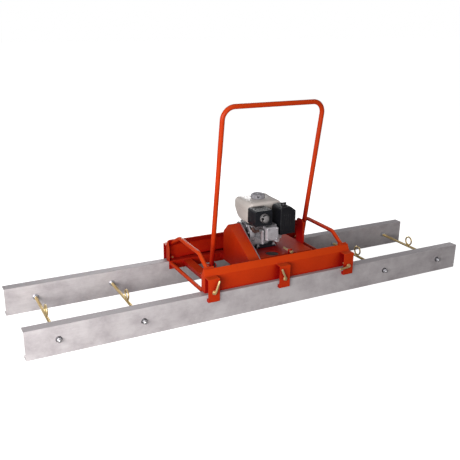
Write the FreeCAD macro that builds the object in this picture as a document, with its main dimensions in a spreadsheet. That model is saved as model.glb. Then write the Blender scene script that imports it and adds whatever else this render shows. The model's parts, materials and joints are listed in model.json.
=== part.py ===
import FreeCAD, Part
import math
import os
import re
import Sketcher

# A power screed: two aluminium channel beams joined by tie rods, with a welded steel
# carriage clamped on top.  The carriage holds a small petrol engine that drives an
# eccentric shaft by belt, and a tilting handle hoop.
# X runs along the beams, the operator walks on the -Y side, and Z is up.
# The origin is on the ground, below the middle of the beams.

doc = FreeCAD.newDocument("power_screed")
sheet = doc.addObject("Spreadsheet::Sheet", "Dims")
X_AXIS, Y_AXIS, Z_AXIS = FreeCAD.Vector(1, 0, 0), FreeCAD.Vector(0, 1, 0), FreeCAD.Vector(0, 0, 1)
CALCULATOR_CELL = "D1"

DIMENSIONS = {
    # beams
    "beam_length": 3048, "beam_height": 171, "beam_flange": 62, "beam_foot": 50,
    "beam_wall": 5, "beam_lip": 12, "half_track": 326,
    # tie rods
    "rod_radius": 9, "rod_height": 90, "rod_outer_x": 1345, "rod_inner_x": 865,
    "rod_overhang": 27, "ring_radius": 29.5, "ring_wire": 5.5,
    "nut_across": 27, "nut_thick": 14, "washer_radius": 18, "washer_thick": 3,
    # carriage
    "carriage_x": 50, "carriage_length": 1048, "sheet_thick": 5,
    "rail_y": 300, "rail_inner_y": 250, "rail_bend_z": 275, "rail_top_y": 277, "rail_top_z": 314,
    "rail_skirt_z": 120, "gusset_z": 269,
    "bracket_width": 75, "bracket_thick": 6, "bracket_y": 344, "bracket_bottom": 130,
    "clamp_z": 190, "clamp_radius": 7, "clamp_collar_radius": 12, "clamp_lever": 84,
    "cross_tube_radius": 12.5, "end_tube_x": 507, "cross_tube_z": 158,
    "member_width": 60, "member_depth": 30, "member_x": 395,
    "inner_member_left": -62, "inner_member_right": 345,
    "arch_x": 490, "arch_radius": 13, "arch_flat_y": 148, "arch_top_z": 367, "arch_foot_y": 283,
    "arch_foot_z": 289, "arch_bend": 60, "foot_plate_width": 65, "foot_plate_reach": 56,
    # handle
    "handle_half_width": 335, "handle_radius": 15, "handle_wall": 2.5, "pivot_z": 205,
    "handle_height": 1043, "handle_splay": 11, "handle_lean": 9, "handle_bend": 75, "pivot_radius": 6,
    "cheek_gap": 42, "cheek_thick": 5, "bracket_plate": 12,
    # engine deck and guard
    "deck_top": 290, "deck_thick": 6, "deck_front": -215, "deck_back": 150,
    "deck_left": -46, "deck_right": 342, "deck_lip": 30, "deck_hole_radius": 42,
    "tension_x": 168,
    "guard_left": -125, "guard_width": 75, "guard_sheet": 3,
    "backplate_thick": 4, "backplate_reach": 10,
    "upright_width": 76, "upright_top": 452, "upright_y": -50,
    # drive
    "crank_y": 60, "crank_z": 396, "exciter_y": -90, "exciter_z": 222,
    "drive_pitch": 26, "driven_pitch": 26, "belt_width": 12, "belt_thick": 8,
    "pulley_rim": 3, "pulley_width": 22, "pulley_left": -98, "groove_gap": 0.4,
    "crank_radius": 10, "exciter_radius": 10, "weight_radius": 34, "weight_width": 42,
    "bearing_left": -25, "bearing_right": 290, "bearing_width": 30, "plate_thick": 6,
    "running_gap": 0.06,
    # engine
    "engine_x": 92, "case_wall": 6, "case_left": -14, "case_right": 150, "case_front": -30,
    "case_back": 122, "case_top": 442, "foot_front": -58, "foot_thick": 12,
    "tank_left": -30, "tank_right": 222, "tank_front": -18, "tank_back": 187,
    "tank_bottom": 452, "tank_top": 590, "tank_wall": 3,
    "cap_radius": 47, "cap_height": 29, "neck_radius": 30,
    "outlet_radius": 28, "muffler_left": -38, "muffler_right": 66, "muffler_front": -126, "muffler_back": -44,
    "muffler_bottom": 468, "muffler_top": 563,
    "cleaner_left": 124, "cleaner_right": 236, "cleaner_front": -158, "cleaner_back": -42,
    "cleaner_bottom": 416, "cleaner_top": 580,
    "housing_radius": 88, "housing_right": 200, "recoil_radius": 78, "recoil_right": 228,
    "carb_right": 162, "lever_thick": 4, "fit_gap": 0.3,
}


# ---------------------------------------------------------------- the sheet and formulas

def fill_sheet():
    for row, (alias, number) in enumerate(DIMENSIONS.items(), start=1):
        sheet.set("A%d" % row, alias)
        sheet.set("B%d" % row, str(number))
        sheet.setAlias("B%d" % row, alias)
    doc.recompute()


def size(alias):
    return float(getattr(sheet, alias))


def amount(text):
    """The number that a formula of the sheet's aliases gives."""
    sheet.set(CALCULATOR_CELL, "=" + str(text))
    sheet.recompute()
    return float(sheet.get(CALCULATOR_CELL))


def formula(text):
    """The same formula, written as an object outside the sheet has to write it."""
    return re.sub(r"[a-z_]+", lambda word: "Dims." + word[0] if word[0] in DIMENSIONS else word[0],
                  str(text))


def bind(thing, prop, text):
    thing.setExpression(prop, formula(text))


def place(thing, at, turn=None):
    """Put a thing at three formulas, turned about an axis by an angle first."""
    if turn:
        thing.Placement = FreeCAD.Placement(FreeCAD.Vector(), FreeCAD.Rotation(*turn))
    for letter, text in zip("xyz", at):
        bind(thing, "Placement.Base." + letter, text)
    return thing


# ---------------------------------------------------------------- sub-parts and primitives

nodes = []


def node(thing, label):
    """Name a finished sub-part; it becomes a file of its own."""
    thing.Label = label
    nodes.append(thing)
    return thing


def box(low, lengths):
    solid = doc.addObject("Part::Box", "Block")
    for prop, text in zip(("Length", "Width", "Height"), lengths):
        bind(solid, prop, text)
    return place(solid, low)


def span_box(x_range, y_range, z_range):
    """A block between two formulas on each axis."""
    ranges = (x_range, y_range, z_range)
    return box([low for low, high in ranges],
               ["(%s)-(%s)" % (high, low) for low, high in ranges])


TURN_ALONG = {"x": (Y_AXIS, 90), "y": (X_AXIS, -90), "z": None}


def rod(radius, length, start, along="z"):
    """A round bar that starts at a point and runs towards + on the axis named."""
    solid = doc.addObject("Part::Cylinder", "Round")
    bind(solid, "Radius", radius)
    bind(solid, "Height", length)
    return place(solid, start, TURN_ALONG[along])


def hexagon(across, length, start, along):
    solid = doc.addObject("Part::Prism", "Hexagon")
    solid.Polygon = 6
    bind(solid, "Circumradius", "(%s)/sqrt(3)" % across)
    bind(solid, "Height", length)
    return place(solid, start, TURN_ALONG[along])


def cut(base, tools):
    result = doc.addObject("Part::Cut", "Cut")
    result.Base = base
    result.Tool = tools[0] if len(tools) == 1 else fuse(tools)
    return result


def fuse(solids):
    result = doc.addObject("Part::MultiFuse", "Fuse")
    result.Shapes = solids
    result.Refine = True
    return result


def group(solids):
    """Separate solids of one sub-part, such as a set of equal fasteners."""
    result = doc.addObject("Part::Compound", "Set")
    result.Links = solids
    return result


def mirrored_y(thing):
    result = doc.addObject("Part::Mirroring", "Mirror")
    result.Source = thing
    result.Normal = Y_AXIS
    return result


def solid_feature(shape):
    """A solid that neither bodies nor primitives can make."""
    result = doc.addObject("Part::Feature", "Shaped")
    result.Shape = shape
    return result


# ---------------------------------------------------------------- sketches and bodies

def sketch_on(body, role):
    sketch = body.newObject("Sketcher::SketchObject", body.Name + "_sketch")
    plane = next(item for item in body.Origin.OriginFeatures if item.Role == role)
    sketch.AttachmentSupport = [(plane, "")]
    sketch.MapMode = "FlatFace"
    return sketch


def dimension_point(sketch, edge, end, corner):
    """Tie one end of an edge to the sketch's origin by two formulas."""
    for kind, other_axis, text in zip(("DistanceX", "DistanceY"), (-2, -1), corner):
        number = amount(text)
        if abs(number) < 1e-9:
            sketch.addConstraint(Sketcher.Constraint("PointOnObject", edge, end, other_axis))
            continue
        place_in_list = sketch.addConstraint(Sketcher.Constraint(kind, -1, 1, edge, end, number))
        bind(sketch, "Constraints[%d]" % place_in_list, text)


def draw_outline(sketch, corners):
    """A closed outline of straight edges, each corner given by two formulas."""
    points = [FreeCAD.Vector(amount(a), amount(b), 0) for a, b in corners]
    first = sketch.GeometryCount
    count = len(points)
    for index in range(count):
        sketch.addGeometry(Part.LineSegment(points[index], points[(index + 1) % count]), False)
    for index, corner in enumerate(corners):
        following = first + (index + 1) % count
        sketch.addConstraint(Sketcher.Constraint("Coincident", first + index, 2, following, 1))
        dimension_point(sketch, first + index, 1, corner)


def draw_circle(sketch, centre, radius):
    middle = FreeCAD.Vector(amount(centre[0]), amount(centre[1]), 0)
    edge = sketch.addGeometry(Part.Circle(middle, Z_AXIS, amount(radius)), False)
    radius_place = sketch.addConstraint(Sketcher.Constraint("Radius", edge, amount(radius)))
    bind(sketch, "Constraints[%d]" % radius_place, radius)
    dimension_point(sketch, edge, 3, centre)


def extruded(role, corners, length, at=(0, 0, 0), holes=()):
    """A body padded from an outline.  On YZ_Plane it grows towards +X, on XZ_Plane
    towards -Y and on XY_Plane towards +Z."""
    body = doc.addObject("PartDesign::Body", "Body")
    sketch = sketch_on(body, role)
    draw_outline(sketch, corners)
    for centre, radius in holes:
        draw_circle(sketch, centre, radius)
    pad = body.newObject("PartDesign::Pad", body.Name + "_pad")
    pad.Profile = sketch
    bind(pad, "Length", length)
    sketch.Visibility = False
    return place(body, at)


def turned(corners, at, along="x"):
    """A body turned from an outline of (distance along the axis, radius)."""
    body = doc.addObject("PartDesign::Body", "Turned")
    sketch = sketch_on(body, "XY_Plane")
    draw_outline(sketch, corners)
    spin = body.newObject("PartDesign::Revolution", body.Name + "_spin")
    spin.Profile = sketch
    spin.ReferenceAxis = (sketch, ["H_Axis"])
    spin.Angle = 360
    return place(body, at, {"x": None, "y": (Z_AXIS, 90), "z": (Y_AXIS, -90)}[along])


# ---------------------------------------------------------------- bent tubes

def rounded_path(points, radius):
    """A wire through the points with an arc of the radius at each corner between."""
    edges = []
    start = points[0]
    for before, corner, after in zip(points, points[1:], points[2:]):
        inwards = (before - corner).normalize()
        outwards = (after - corner).normalize()
        half_angle = inwards.getAngle(outwards) / 2
        reach = radius / math.tan(half_angle)
        centre = corner + (inwards + outwards).normalize() * (radius / math.sin(half_angle))
        arc_start = corner + inwards * reach
        arc_end = corner + outwards * reach
        arc_middle = centre + (corner - centre).normalize() * radius
        edges.append(Part.LineSegment(start, arc_start).toShape())
        edges.append(Part.Arc(arc_start, arc_middle, arc_end).toShape())
        start = arc_end
    edges.append(Part.LineSegment(start, points[-1]).toShape())
    return Part.Wire(edges)


def swept_round(path, radius):
    first = path.Edges[0]
    start = first.valueAt(first.FirstParameter)
    tangent = first.tangentAt(first.FirstParameter)
    ring = Part.Wire([Part.Circle(start, tangent, radius).toShape()])
    return path.makePipeShell([ring], True, True)


def bent_tube(points, bend, radius, wall):
    path = rounded_path(points, bend)
    return swept_round(path, radius).cut(swept_round(path, radius - wall))


# ---------------------------------------------------------------- beams and tie rods

ROD_PLACES = ("-rod_outer_x", "-rod_inner_x", "rod_inner_x", "rod_outer_x")
FRONT_WEB, REAR_WEB = "-half_track", "half_track-beam_flange"


def beam(label, web_y):
    """An open channel with its web on the -Y side, lipped flanges and four rod holes."""
    outline = [
        (0, 0), ("beam_foot", 0), ("beam_foot", "beam_lip"), ("beam_foot-beam_wall", "beam_lip"),
        ("beam_foot-beam_wall", "beam_wall"), ("beam_wall", "beam_wall"),
        ("beam_wall", "beam_height-beam_wall"), ("beam_flange-beam_wall", "beam_height-beam_wall"),
        ("beam_flange-beam_wall", "beam_height-beam_lip"), ("beam_flange", "beam_height-beam_lip"),
        ("beam_flange", "beam_height"), (0, "beam_height"),
    ]
    body = extruded("YZ_Plane", outline, "beam_length", at=("-beam_length/2", web_y, 0))
    doc.recompute()
    holes = sketch_on(body, "XZ_Plane")
    for rod_x in ROD_PLACES:
        draw_circle(holes, (rod_x + "+beam_length/2", "rod_height"), "rod_radius+running_gap")
    pocket = body.newObject("PartDesign::Pocket", body.Name + "_rod_holes")
    pocket.Profile = holes
    bind(pocket, "Length", "beam_wall*2")
    return node(body, label)


def tie_rod(number, rod_x):
    """A round bar between the two webs with a pulling ring welded on at its middle."""
    length = "half_track*2-beam_flange+rod_overhang*2"
    bar = rod("rod_radius", length, (rod_x, "-half_track-rod_overhang", "rod_height"), "y")
    ring = doc.addObject("Part::Torus", "Ring")
    bind(ring, "Radius1", "ring_radius")
    bind(ring, "Radius2", "ring_wire")
    place(ring, (rod_x, "-beam_flange/2", "rod_height+rod_radius+ring_radius+ring_wire/2"), (Y_AXIS, 90))
    return node(fuse([bar, ring]), "tie_rod_%d" % number)


def tie_rod_nuts():
    """A washer and a nut on each side of each web, on all four rods."""
    solids = []
    seats = (("-half_track", -1), ("-half_track+beam_wall", 1),
             ("half_track-beam_flange", -1), ("half_track-beam_flange+beam_wall", 1))
    for rod_x in ROD_PLACES:
        for seat_y, way in seats:
            washer_y = seat_y if way > 0 else seat_y + "-washer_thick"
            nut_y = seat_y + ("+washer_thick" if way > 0 else "-washer_thick-nut_thick")
            for solid, low, depth in (
                    (rod("washer_radius", "washer_thick", (rod_x, washer_y, "rod_height"), "y"),
                     washer_y, "washer_thick"),
                    (hexagon("nut_across", "nut_thick", (rod_x, nut_y, "rod_height"), "y"),
                     nut_y, "nut_thick")):
                bore = rod("rod_radius+running_gap", depth, (rod_x, low, "rod_height"), "y")
                solids.append(cut(solid, [bore]))
    return node(group(solids), "tie_rod_nuts")


# ---------------------------------------------------------------- carriage frame

RAIL_LEFT = "carriage_x-carriage_length/2"
BRACKET_PLACES = (RAIL_LEFT + "+bracket_width/2", "carriage_x",
                  RAIL_LEFT + "+carriage_length-bracket_width/2")


def rail(label, is_front):
    """A folded rail: skirt inside the beam, shelf on its flange, wall, leaning top,
    a gusset plate that closes each end, and a weld nut for each clamp screw."""
    outline = [
        ("rail_inner_y", "rail_skirt_z"), ("rail_inner_y+sheet_thick", "rail_skirt_z"),
        ("rail_inner_y+sheet_thick", "beam_height"), ("rail_y", "beam_height"),
        ("rail_y", "rail_bend_z"), ("rail_top_y", "rail_top_z"),
        ("rail_top_y-sheet_thick", "rail_top_z-sheet_thick/2"),
        ("rail_y-sheet_thick", "rail_bend_z-sheet_thick/4"),
        ("rail_y-sheet_thick", "beam_height+sheet_thick"),
        ("rail_inner_y", "beam_height+sheet_thick"),
    ]
    sheet_body = extruded("YZ_Plane", outline, "carriage_length", at=(RAIL_LEFT, 0, 0))
    gusset = [
        ("rail_inner_y", "beam_height+sheet_thick"),
        ("rail_y-sheet_thick", "beam_height+sheet_thick"),
        ("rail_y-sheet_thick", "rail_bend_z-sheet_thick/4"),
        ("rail_top_y-sheet_thick", "rail_top_z-sheet_thick/2"),
        ("rail_inner_y", "gusset_z"),
    ]
    ends = [extruded("YZ_Plane", gusset, "sheet_thick", at=(x, 0, 0))
            for x in (RAIL_LEFT, RAIL_LEFT + "+carriage_length-sheet_thick")]
    nut_y = "rail_y-sheet_thick-nut_thick"
    nuts = [hexagon("nut_across", "nut_thick", (x, nut_y, "clamp_z"), "y") for x in BRACKET_PLACES]
    bores = [rod("clamp_radius+running_gap", "nut_thick+sheet_thick", (x, nut_y, "clamp_z"), "y")
             for x in BRACKET_PLACES]
    whole = cut(fuse([sheet_body] + ends + nuts), bores)
    return node(mirrored_y(whole) if is_front else whole, label)


def clamp_brackets():
    """Six hooks bent from flat bar, from the rail's wall out and down past the beam,
    each with a toe that bears on the beam's side."""
    outline = [
        ("rail_y", "rail_bend_z-bracket_thick"), ("rail_y", "rail_bend_z"),
        ("bracket_y+bracket_thick", "rail_bend_z"), ("bracket_y+bracket_thick", "bracket_bottom"),
        ("half_track", "bracket_bottom"), ("half_track", "bracket_bottom+20"),
        ("bracket_y", "bracket_bottom+20"), ("bracket_y", "rail_bend_z-bracket_thick"),
    ]
    hooks = []
    for middle in BRACKET_PLACES:
        hook = extruded("YZ_Plane", outline, "bracket_width", at=(middle + "-bracket_width/2", 0, 0))
        bore = rod("clamp_radius+running_gap", "bracket_thick", (middle, "bracket_y", "clamp_z"), "y")
        rear = cut(hook, [bore])
        hooks += [mirrored_y(rear), rear]
    return node(group(hooks), "clamp_brackets")


# How far each clamp lever rests from straight up, in degrees towards +X: front, then rear.
CLAMP_LEVER_ANGLES = (16, -27, -92, 20, -35, 60)


def clamp_bolt(number, middle, side, lever_angle):
    """A clamp screw: stem from the rail's nut out through the hook, collar, bent lever."""
    face = size("bracket_y") + size("bracket_thick")
    centre_x, centre_z = amount(middle), size("clamp_z")
    radius = size("clamp_radius")

    def outward(distance):
        return FreeCAD.Vector(centre_x, side * distance, centre_z)

    way = Y_AXIS * side
    start = size("rail_y") - size("sheet_thick") - size("nut_thick")
    stem = Part.makeCylinder(radius, face + 10 - start, outward(start), way)
    collar = Part.makeCylinder(size("clamp_collar_radius"), 6, outward(face + 0.3), way)
    angle = math.radians(lever_angle)
    up = FreeCAD.Vector(math.sin(angle), 0, math.cos(angle))
    elbow = outward(face + 16)
    lever_path = rounded_path([elbow - way * 14, elbow, elbow + up * size("clamp_lever") + way * 8], 10)
    lever = swept_round(lever_path, radius - 0.2)
    return node(solid_feature(stem.fuse([collar, lever])), "clamp_bolt_%d" % number)


def end_tubes():
    """A round tube between the rails' skirts, just inside each end of the carriage."""
    tubes = []
    for middle in ("carriage_x-end_tube_x", "carriage_x+end_tube_x"):
        start = (middle, "-rail_inner_y", "cross_tube_z")
        outer = rod("cross_tube_radius", "rail_inner_y*2", start, "y")
        tubes.append(cut(outer, [rod("cross_tube_radius-2.5", "rail_inner_y*2", start, "y")]))
    return node(group(tubes), "end_tubes")


def crossmember(middle):
    """A channel open downwards, welded between the rails' skirts."""
    low = "beam_height-member_depth"
    half = "member_width/2"
    outline = [
        ("-" + half, low), ("-%s+sheet_thick" % half, low),
        ("-%s+sheet_thick" % half, "beam_height-sheet_thick"),
        (half + "-sheet_thick", "beam_height-sheet_thick"), (half + "-sheet_thick", low),
        (half, low), (half, "beam_height"), ("-" + half, "beam_height"),
    ]
    return extruded("XZ_Plane", outline, "rail_inner_y*2", at=(middle, "rail_inner_y", 0))


def arch_bar(label, x_text):
    """A lifting bar: a tube bent over from rail to rail, with a foot plate at each end
    that lies against the rail's leaning top and stands above its edge."""
    x = amount(x_text)
    flat_y, foot_y = size("arch_flat_y"), size("arch_foot_y")
    slope = (size("arch_top_z") - size("arch_foot_z")) / (foot_y - flat_y)
    reach = foot_y + 30
    foot_z = size("arch_foot_z") - slope * 30
    corners = [(-reach, foot_z), (-flat_y, size("arch_top_z")),
               (flat_y, size("arch_top_z")), (reach, foot_z)]
    tube = bent_tube([FreeCAD.Vector(x, y, z) for y, z in corners],
                     size("arch_bend"), size("arch_radius"), 2.5)
    thick = size("sheet_thick")
    low = FreeCAD.Vector(0, size("rail_y") - thick, size("rail_bend_z") - thick / 4)
    high = FreeCAD.Vector(0, size("rail_top_y") - thick, size("rail_top_z") - thick / 2)
    up = (high - low).normalize()
    inwards = FreeCAD.Vector(0, -up.z, up.y)
    top = low + up * size("foot_plate_reach")
    width = size("foot_plate_width")
    solids = []
    for side in (1, -1):
        def slab(points, centre_x, wide):
            outline = [FreeCAD.Vector(centre_x - wide / 2, side * point.y, point.z) for point in points]
            return Part.Face(Part.makePolygon(outline + outline[:1])).extrude(X_AXIS * wide)
        tube = tube.cut(slab([low - Z_AXIS * 90, low, top + up * 40, top + up * 40 - inwards * 80,
                              low - Z_AXIS * 90 + Y_AXIS * 90], x, 60))
        solids.append(slab([low, top, top + inwards * thick, low + inwards * thick],
                           x - math.copysign(5.5, x - size("carriage_x")), width))
    return node(solid_feature(tube.fuse(solids)), label)


# ---------------------------------------------------------------- handle

HANDLE_PLACES = ("carriage_x-handle_half_width", "carriage_x+handle_half_width")


def handle_hoop():
    """The bent tube handle, leaning towards the operator, with a pivot hole in each leg."""
    lean = math.radians(size("handle_lean"))
    up = FreeCAD.Vector(0, -math.sin(lean), math.cos(lean))
    left, right = (FreeCAD.Vector(amount(x), 0, size("pivot_z")) for x in HANDLE_PLACES)
    top = up * size("handle_height")
    stub = 22
    splay = X_AXIS * size("handle_splay")
    below = (top - splay) * (-stub / size("handle_height")), (top + splay) * (-stub / size("handle_height"))
    tube = bent_tube([left + below[0], left + top - splay, right + top + splay, right + below[1]],
                     size("handle_bend"), size("handle_radius"), size("handle_wall"))
    for foot in (left, right):
        bore = Part.makeCylinder(size("pivot_radius") + size("running_gap"), 60,
                                 foot - X_AXIS * 30, X_AXIS)
        tube = tube.cut(bore)
    return node(solid_feature(tube), "handle_hoop")


def handle_brackets():
    """Two forks that carry the handle's legs, each bolted to the side of a crossmember."""
    forks = []
    half_gap = "cheek_gap/2"
    spans = (("carriage_x-member_x+member_width/2", "carriage_x-handle_half_width+%s+cheek_thick" % half_gap),
             ("inner_member_right+member_width/2", "carriage_x+member_x-member_width/2"))
    for foot, base_x in zip(HANDLE_PLACES, spans):
        base = span_box(base_x, ("-30", "30"), ("beam_height-bracket_plate", "beam_height"))
        cheeks = []
        for cheek_low in (foot + "-%s-cheek_thick" % half_gap, foot + "+" + half_gap):
            cheek = extruded("YZ_Plane", [
                ("-30", "beam_height"), ("30", "beam_height"), ("14", "pivot_z+16"),
                ("-14", "pivot_z+16")], "cheek_thick", at=(cheek_low, 0, 0),
                holes=[((0, "pivot_z"), "pivot_radius+running_gap")])
            cheeks.append(cheek)
        forks.append(fuse([base] + cheeks))
    return node(group(forks), "handle_brackets")


def handle_pivot_bolts():
    """A bolt with a head and a nut through each fork."""
    bolts = []
    for foot in HANDLE_PLACES:
        left = foot + "-cheek_gap/2-cheek_thick"
        stem = rod("pivot_radius", "cheek_gap+cheek_thick*2+14", (left, 0, "pivot_z"), "x")
        head = hexagon("18", "7", (left + "-7", 0, "pivot_z"), "x")
        nut = hexagon("18", "10", (left + "+cheek_gap+cheek_thick*2", 0, "pivot_z"), "x")
        bolts.append(fuse([stem, head, nut]))
    return node(group(bolts), "handle_pivot_bolts")


def handle_bushes():
    """Rubber rings between the handle's legs and the forks, which take up vibration."""
    rings = []
    for foot in HANDLE_PLACES:
        for low, high in ((foot + "-cheek_gap/2", foot + "-handle_radius-fit_gap"),
                          (foot + "+handle_radius+fit_gap", foot + "+cheek_gap/2")):
            length = "(%s)-(%s)" % (high, low)
            ring = rod("13", length, (low, 0, "pivot_z"), "x")
            rings.append(cut(ring, [rod("pivot_radius+running_gap", length, (low, 0, "pivot_z"), "x")]))
    return node(group(rings), "handle_bushes")


# ---------------------------------------------------------------- deck, guard, upright

GUARD_CREST = ((46, 428), (60, 436), (80, 437), (95, 427))
GUARD_SHOULDER = (148, 373)
GUARD_TOE = (-245, 264)


def engine_deck():
    """The folded plate that the engine stands on, between the guard and the upright,
    with a round opening and a welded tab that the belt's tension bolt runs through."""
    top = span_box(("deck_left", "deck_right"), ("deck_front", "deck_back"),
                   ("deck_top-deck_thick", "deck_top"))
    lip = span_box(("deck_left", "deck_right"), ("deck_front", "deck_front+deck_thick"),
                   ("deck_top-deck_lip", "deck_top"))
    back_lip = span_box(("deck_left", "deck_right"), ("deck_back-deck_thick", "deck_back"),
                        ("deck_top-deck_lip", "deck_top"))
    tab = span_box(("tension_x-16", "tension_x+16"), ("deck_front", "deck_front+deck_thick"),
                   ("deck_top", "deck_top+30"))
    bore = rod("6+running_gap", "deck_thick", ("tension_x", "deck_front", "deck_top+14"), "y")
    opening = rod("deck_hole_radius", "21", ("66", "-162", "deck_top-20"))
    return node(cut(fuse([top, lip, back_lip, tab]), [bore, opening]), "engine_deck")


def guard_outline(offset, foot_z):
    """The guard's side view with its rounded crest, grown outwards by an offset."""
    toe_y, toe_z = GUARD_TOE
    shoulder_y, shoulder_z = GUARD_SHOULDER
    lean = (-0.5, -0.25, 0.25, 0.6)
    crest = [(y + offset * share, z + offset) for (y, z), share in zip(GUARD_CREST, lean)]
    return ([(toe_y, foot_z), (toe_y, toe_z)] + crest
            + [(shoulder_y + offset, shoulder_z + offset / 2), (shoulder_y + offset, foot_z)])


def belt_guard():
    """A folded cover, open towards the engine and below."""
    foot = size("beam_height")
    thick = size("guard_sheet")
    outer = extruded("YZ_Plane", guard_outline(0, foot), "guard_width", at=("guard_left", 0, 0))
    inner_crest = [(y, z - thick) for y, z in GUARD_CREST]
    inner = extruded("YZ_Plane", [
        (GUARD_TOE[0] + thick, foot - 1), (GUARD_TOE[0] + thick, GUARD_TOE[1] - thick * 0.7)]
        + inner_crest + [
        (GUARD_SHOULDER[0] - thick, GUARD_SHOULDER[1] - 1), (GUARD_SHOULDER[0] - thick, foot - 1),
    ], "guard_width", at=("guard_left+guard_sheet", 0, 0))
    return node(cut(outer, [inner]), "belt_guard")


def guard_back_plate():
    """The plate behind the belt guard, which stands proud of it all round the top."""
    corners = guard_outline(amount("backplate_reach"), amount("beam_height"))
    crank = (("crank_y", "crank_z"), "crank_radius+8")
    exciter = (("exciter_y", "exciter_z"), "exciter_radius+6")
    plate = extruded("YZ_Plane", corners, "backplate_thick", at=("guard_left+guard_width", 0, 0),
                     holes=[crank, exciter])
    return node(plate, "guard_back_plate")


def engine_upright():
    """A folded channel that stands on the inner crossmember and carries the deck's end."""
    half = "upright_width/2"
    low_y, high_y = "upright_y-" + half, "upright_y+" + half
    left = "deck_right"
    plate = extruded("YZ_Plane", [
        (low_y, "beam_height"), (low_y, "upright_top-18"), (low_y + "+7", "upright_top-5"),
        (low_y + "+20", "upright_top"), (high_y + "-20", "upright_top"),
        (high_y + "-7", "upright_top-5"), (high_y, "upright_top-18"), (high_y, "beam_height")],
        "sheet_thick", at=(left, 0, 0))
    flanges = [span_box((left, left + "+16"), (low, low + "+sheet_thick"),
                        ("beam_height", "upright_top-18"))
               for low in (low_y, high_y + "-sheet_thick")]
    return node(fuse([plate] + flanges), "engine_upright")


def belt_tension_bolt():
    """A long bolt through the deck's tab that pushes the engine back to tighten the belt."""
    x, z = "tension_x", "deck_top+14"
    stem = rod("6", "deck_thick+83", (x, "deck_front-13", z), "y")
    head = hexagon("19", "9", (x, "deck_front-22", z), "y")
    nut = hexagon("19", "10", (x, "deck_front+deck_thick", z), "y")
    return node(fuse([stem, head, nut]), "belt_tension_bolt")


# ---------------------------------------------------------------- belt drive

def pulley_profile(pitch, bore):
    """Half section of a pulley with one groove, as (along the axis, radius)."""
    groove_floor = pitch + "-belt_thick/2-groove_gap"
    rim = pitch + "+belt_thick/2+pulley_rim-belt_thick/2"
    near = "pulley_width/2-belt_width/2-groove_gap"
    far = "pulley_width/2+belt_width/2+groove_gap"
    return [(0, bore), (0, rim), (near, rim), (near, groove_floor), (far, groove_floor),
            (far, rim), ("pulley_width", rim), ("pulley_width", bore)]


def pulleys():
    drive = turned(pulley_profile("drive_pitch", "crank_radius"), ("pulley_left", "crank_y", "crank_z"))
    node(drive, "drive_pulley")
    driven = turned(pulley_profile("driven_pitch", "exciter_radius"),
                    ("pulley_left", "exciter_y", "exciter_z"))
    node(driven, "driven_pulley")


def belt_face(x, offset):
    """The flat loop round both pulleys, at an offset from the pitch line."""
    top = FreeCAD.Vector(x, size("crank_y"), size("crank_z"))
    low = FreeCAD.Vector(x, size("exciter_y"), size("exciter_z"))
    big, small = size("drive_pitch") + offset, size("driven_pitch") + offset
    between = low - top
    tilt = math.acos((big - small) / between.Length)
    heading = math.atan2(between.z, between.y)

    def on_circle(centre, radius, angle):
        return centre + FreeCAD.Vector(0, math.cos(angle), math.sin(angle)) * radius

    first_top, second_top = (on_circle(top, big, heading + way * tilt) for way in (1, -1))
    first_low, second_low = (on_circle(low, small, heading + way * tilt) for way in (1, -1))
    edges = [
        Part.LineSegment(first_top, first_low).toShape(),
        Part.Arc(first_low, on_circle(low, small, heading), second_low).toShape(),
        Part.LineSegment(second_low, second_top).toShape(),
        Part.Arc(second_top, on_circle(top, big, heading + math.pi), first_top).toShape(),
    ]
    return Part.Face(Part.Wire(edges))


def drive_belt():
    x = size("pulley_left") + size("pulley_width") / 2 - size("belt_width") / 2
    half = size("belt_thick") / 2
    loop = belt_face(x, half).cut(belt_face(x, -half))
    return node(solid_feature(loop.extrude(X_AXIS * size("belt_width"))), "drive_belt")


def exciter():
    """The eccentric shaft with its weights, bearings and base plate."""
    start = "pulley_left-4"
    shaft = rod("exciter_radius", "bearing_right+bearing_width+6-(%s)" % start,
                (start, "exciter_y", "exciter_z"), "x")
    node(shaft, "exciter_shaft")
    weights = []
    for left in ("45", "190"):
        disc = rod("weight_radius", "weight_width", (left, "exciter_y", "exciter_z"), "x")
        upper_half = span_box((left, left + "+weight_width"),
                              ("exciter_y-weight_radius", "exciter_y+weight_radius"),
                              ("exciter_z+14", "exciter_z+weight_radius"))
        bore = rod("exciter_radius", "weight_width", (left, "exciter_y", "exciter_z"), "x")
        weights.append(cut(disc, [upper_half, bore]))
    node(group(weights), "eccentric_weights")
    base = span_box(("guard_left+guard_width+backplate_thick", "deck_right"), ("exciter_y-50", "exciter_y+50"),
                    ("beam_height", "beam_height+plate_thick"))
    node(base, "exciter_base")
    blocks = []
    for left in ("bearing_left", "bearing_right"):
        foot_z = "beam_height+plate_thick"
        block = extruded("YZ_Plane", [
            ("-44", foot_z), ("44", foot_z), ("44", foot_z + "+12"), ("26", foot_z + "+16"),
            ("24", "exciter_z+20"), ("12", "exciter_z+28"), ("-12", "exciter_z+28"),
            ("-24", "exciter_z+20"), ("-26", foot_z + "+16"), ("-44", foot_z + "+12")],
            "bearing_width", at=(left, "exciter_y", 0),
            holes=[((0, "exciter_z"), "exciter_radius+running_gap")])
        blocks.append(block)
    node(group(blocks), "bearing_blocks")


# ---------------------------------------------------------------- engine

DIPSTICK_AT = ("engine_x+38", "case_front", "deck_top+28")


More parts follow.
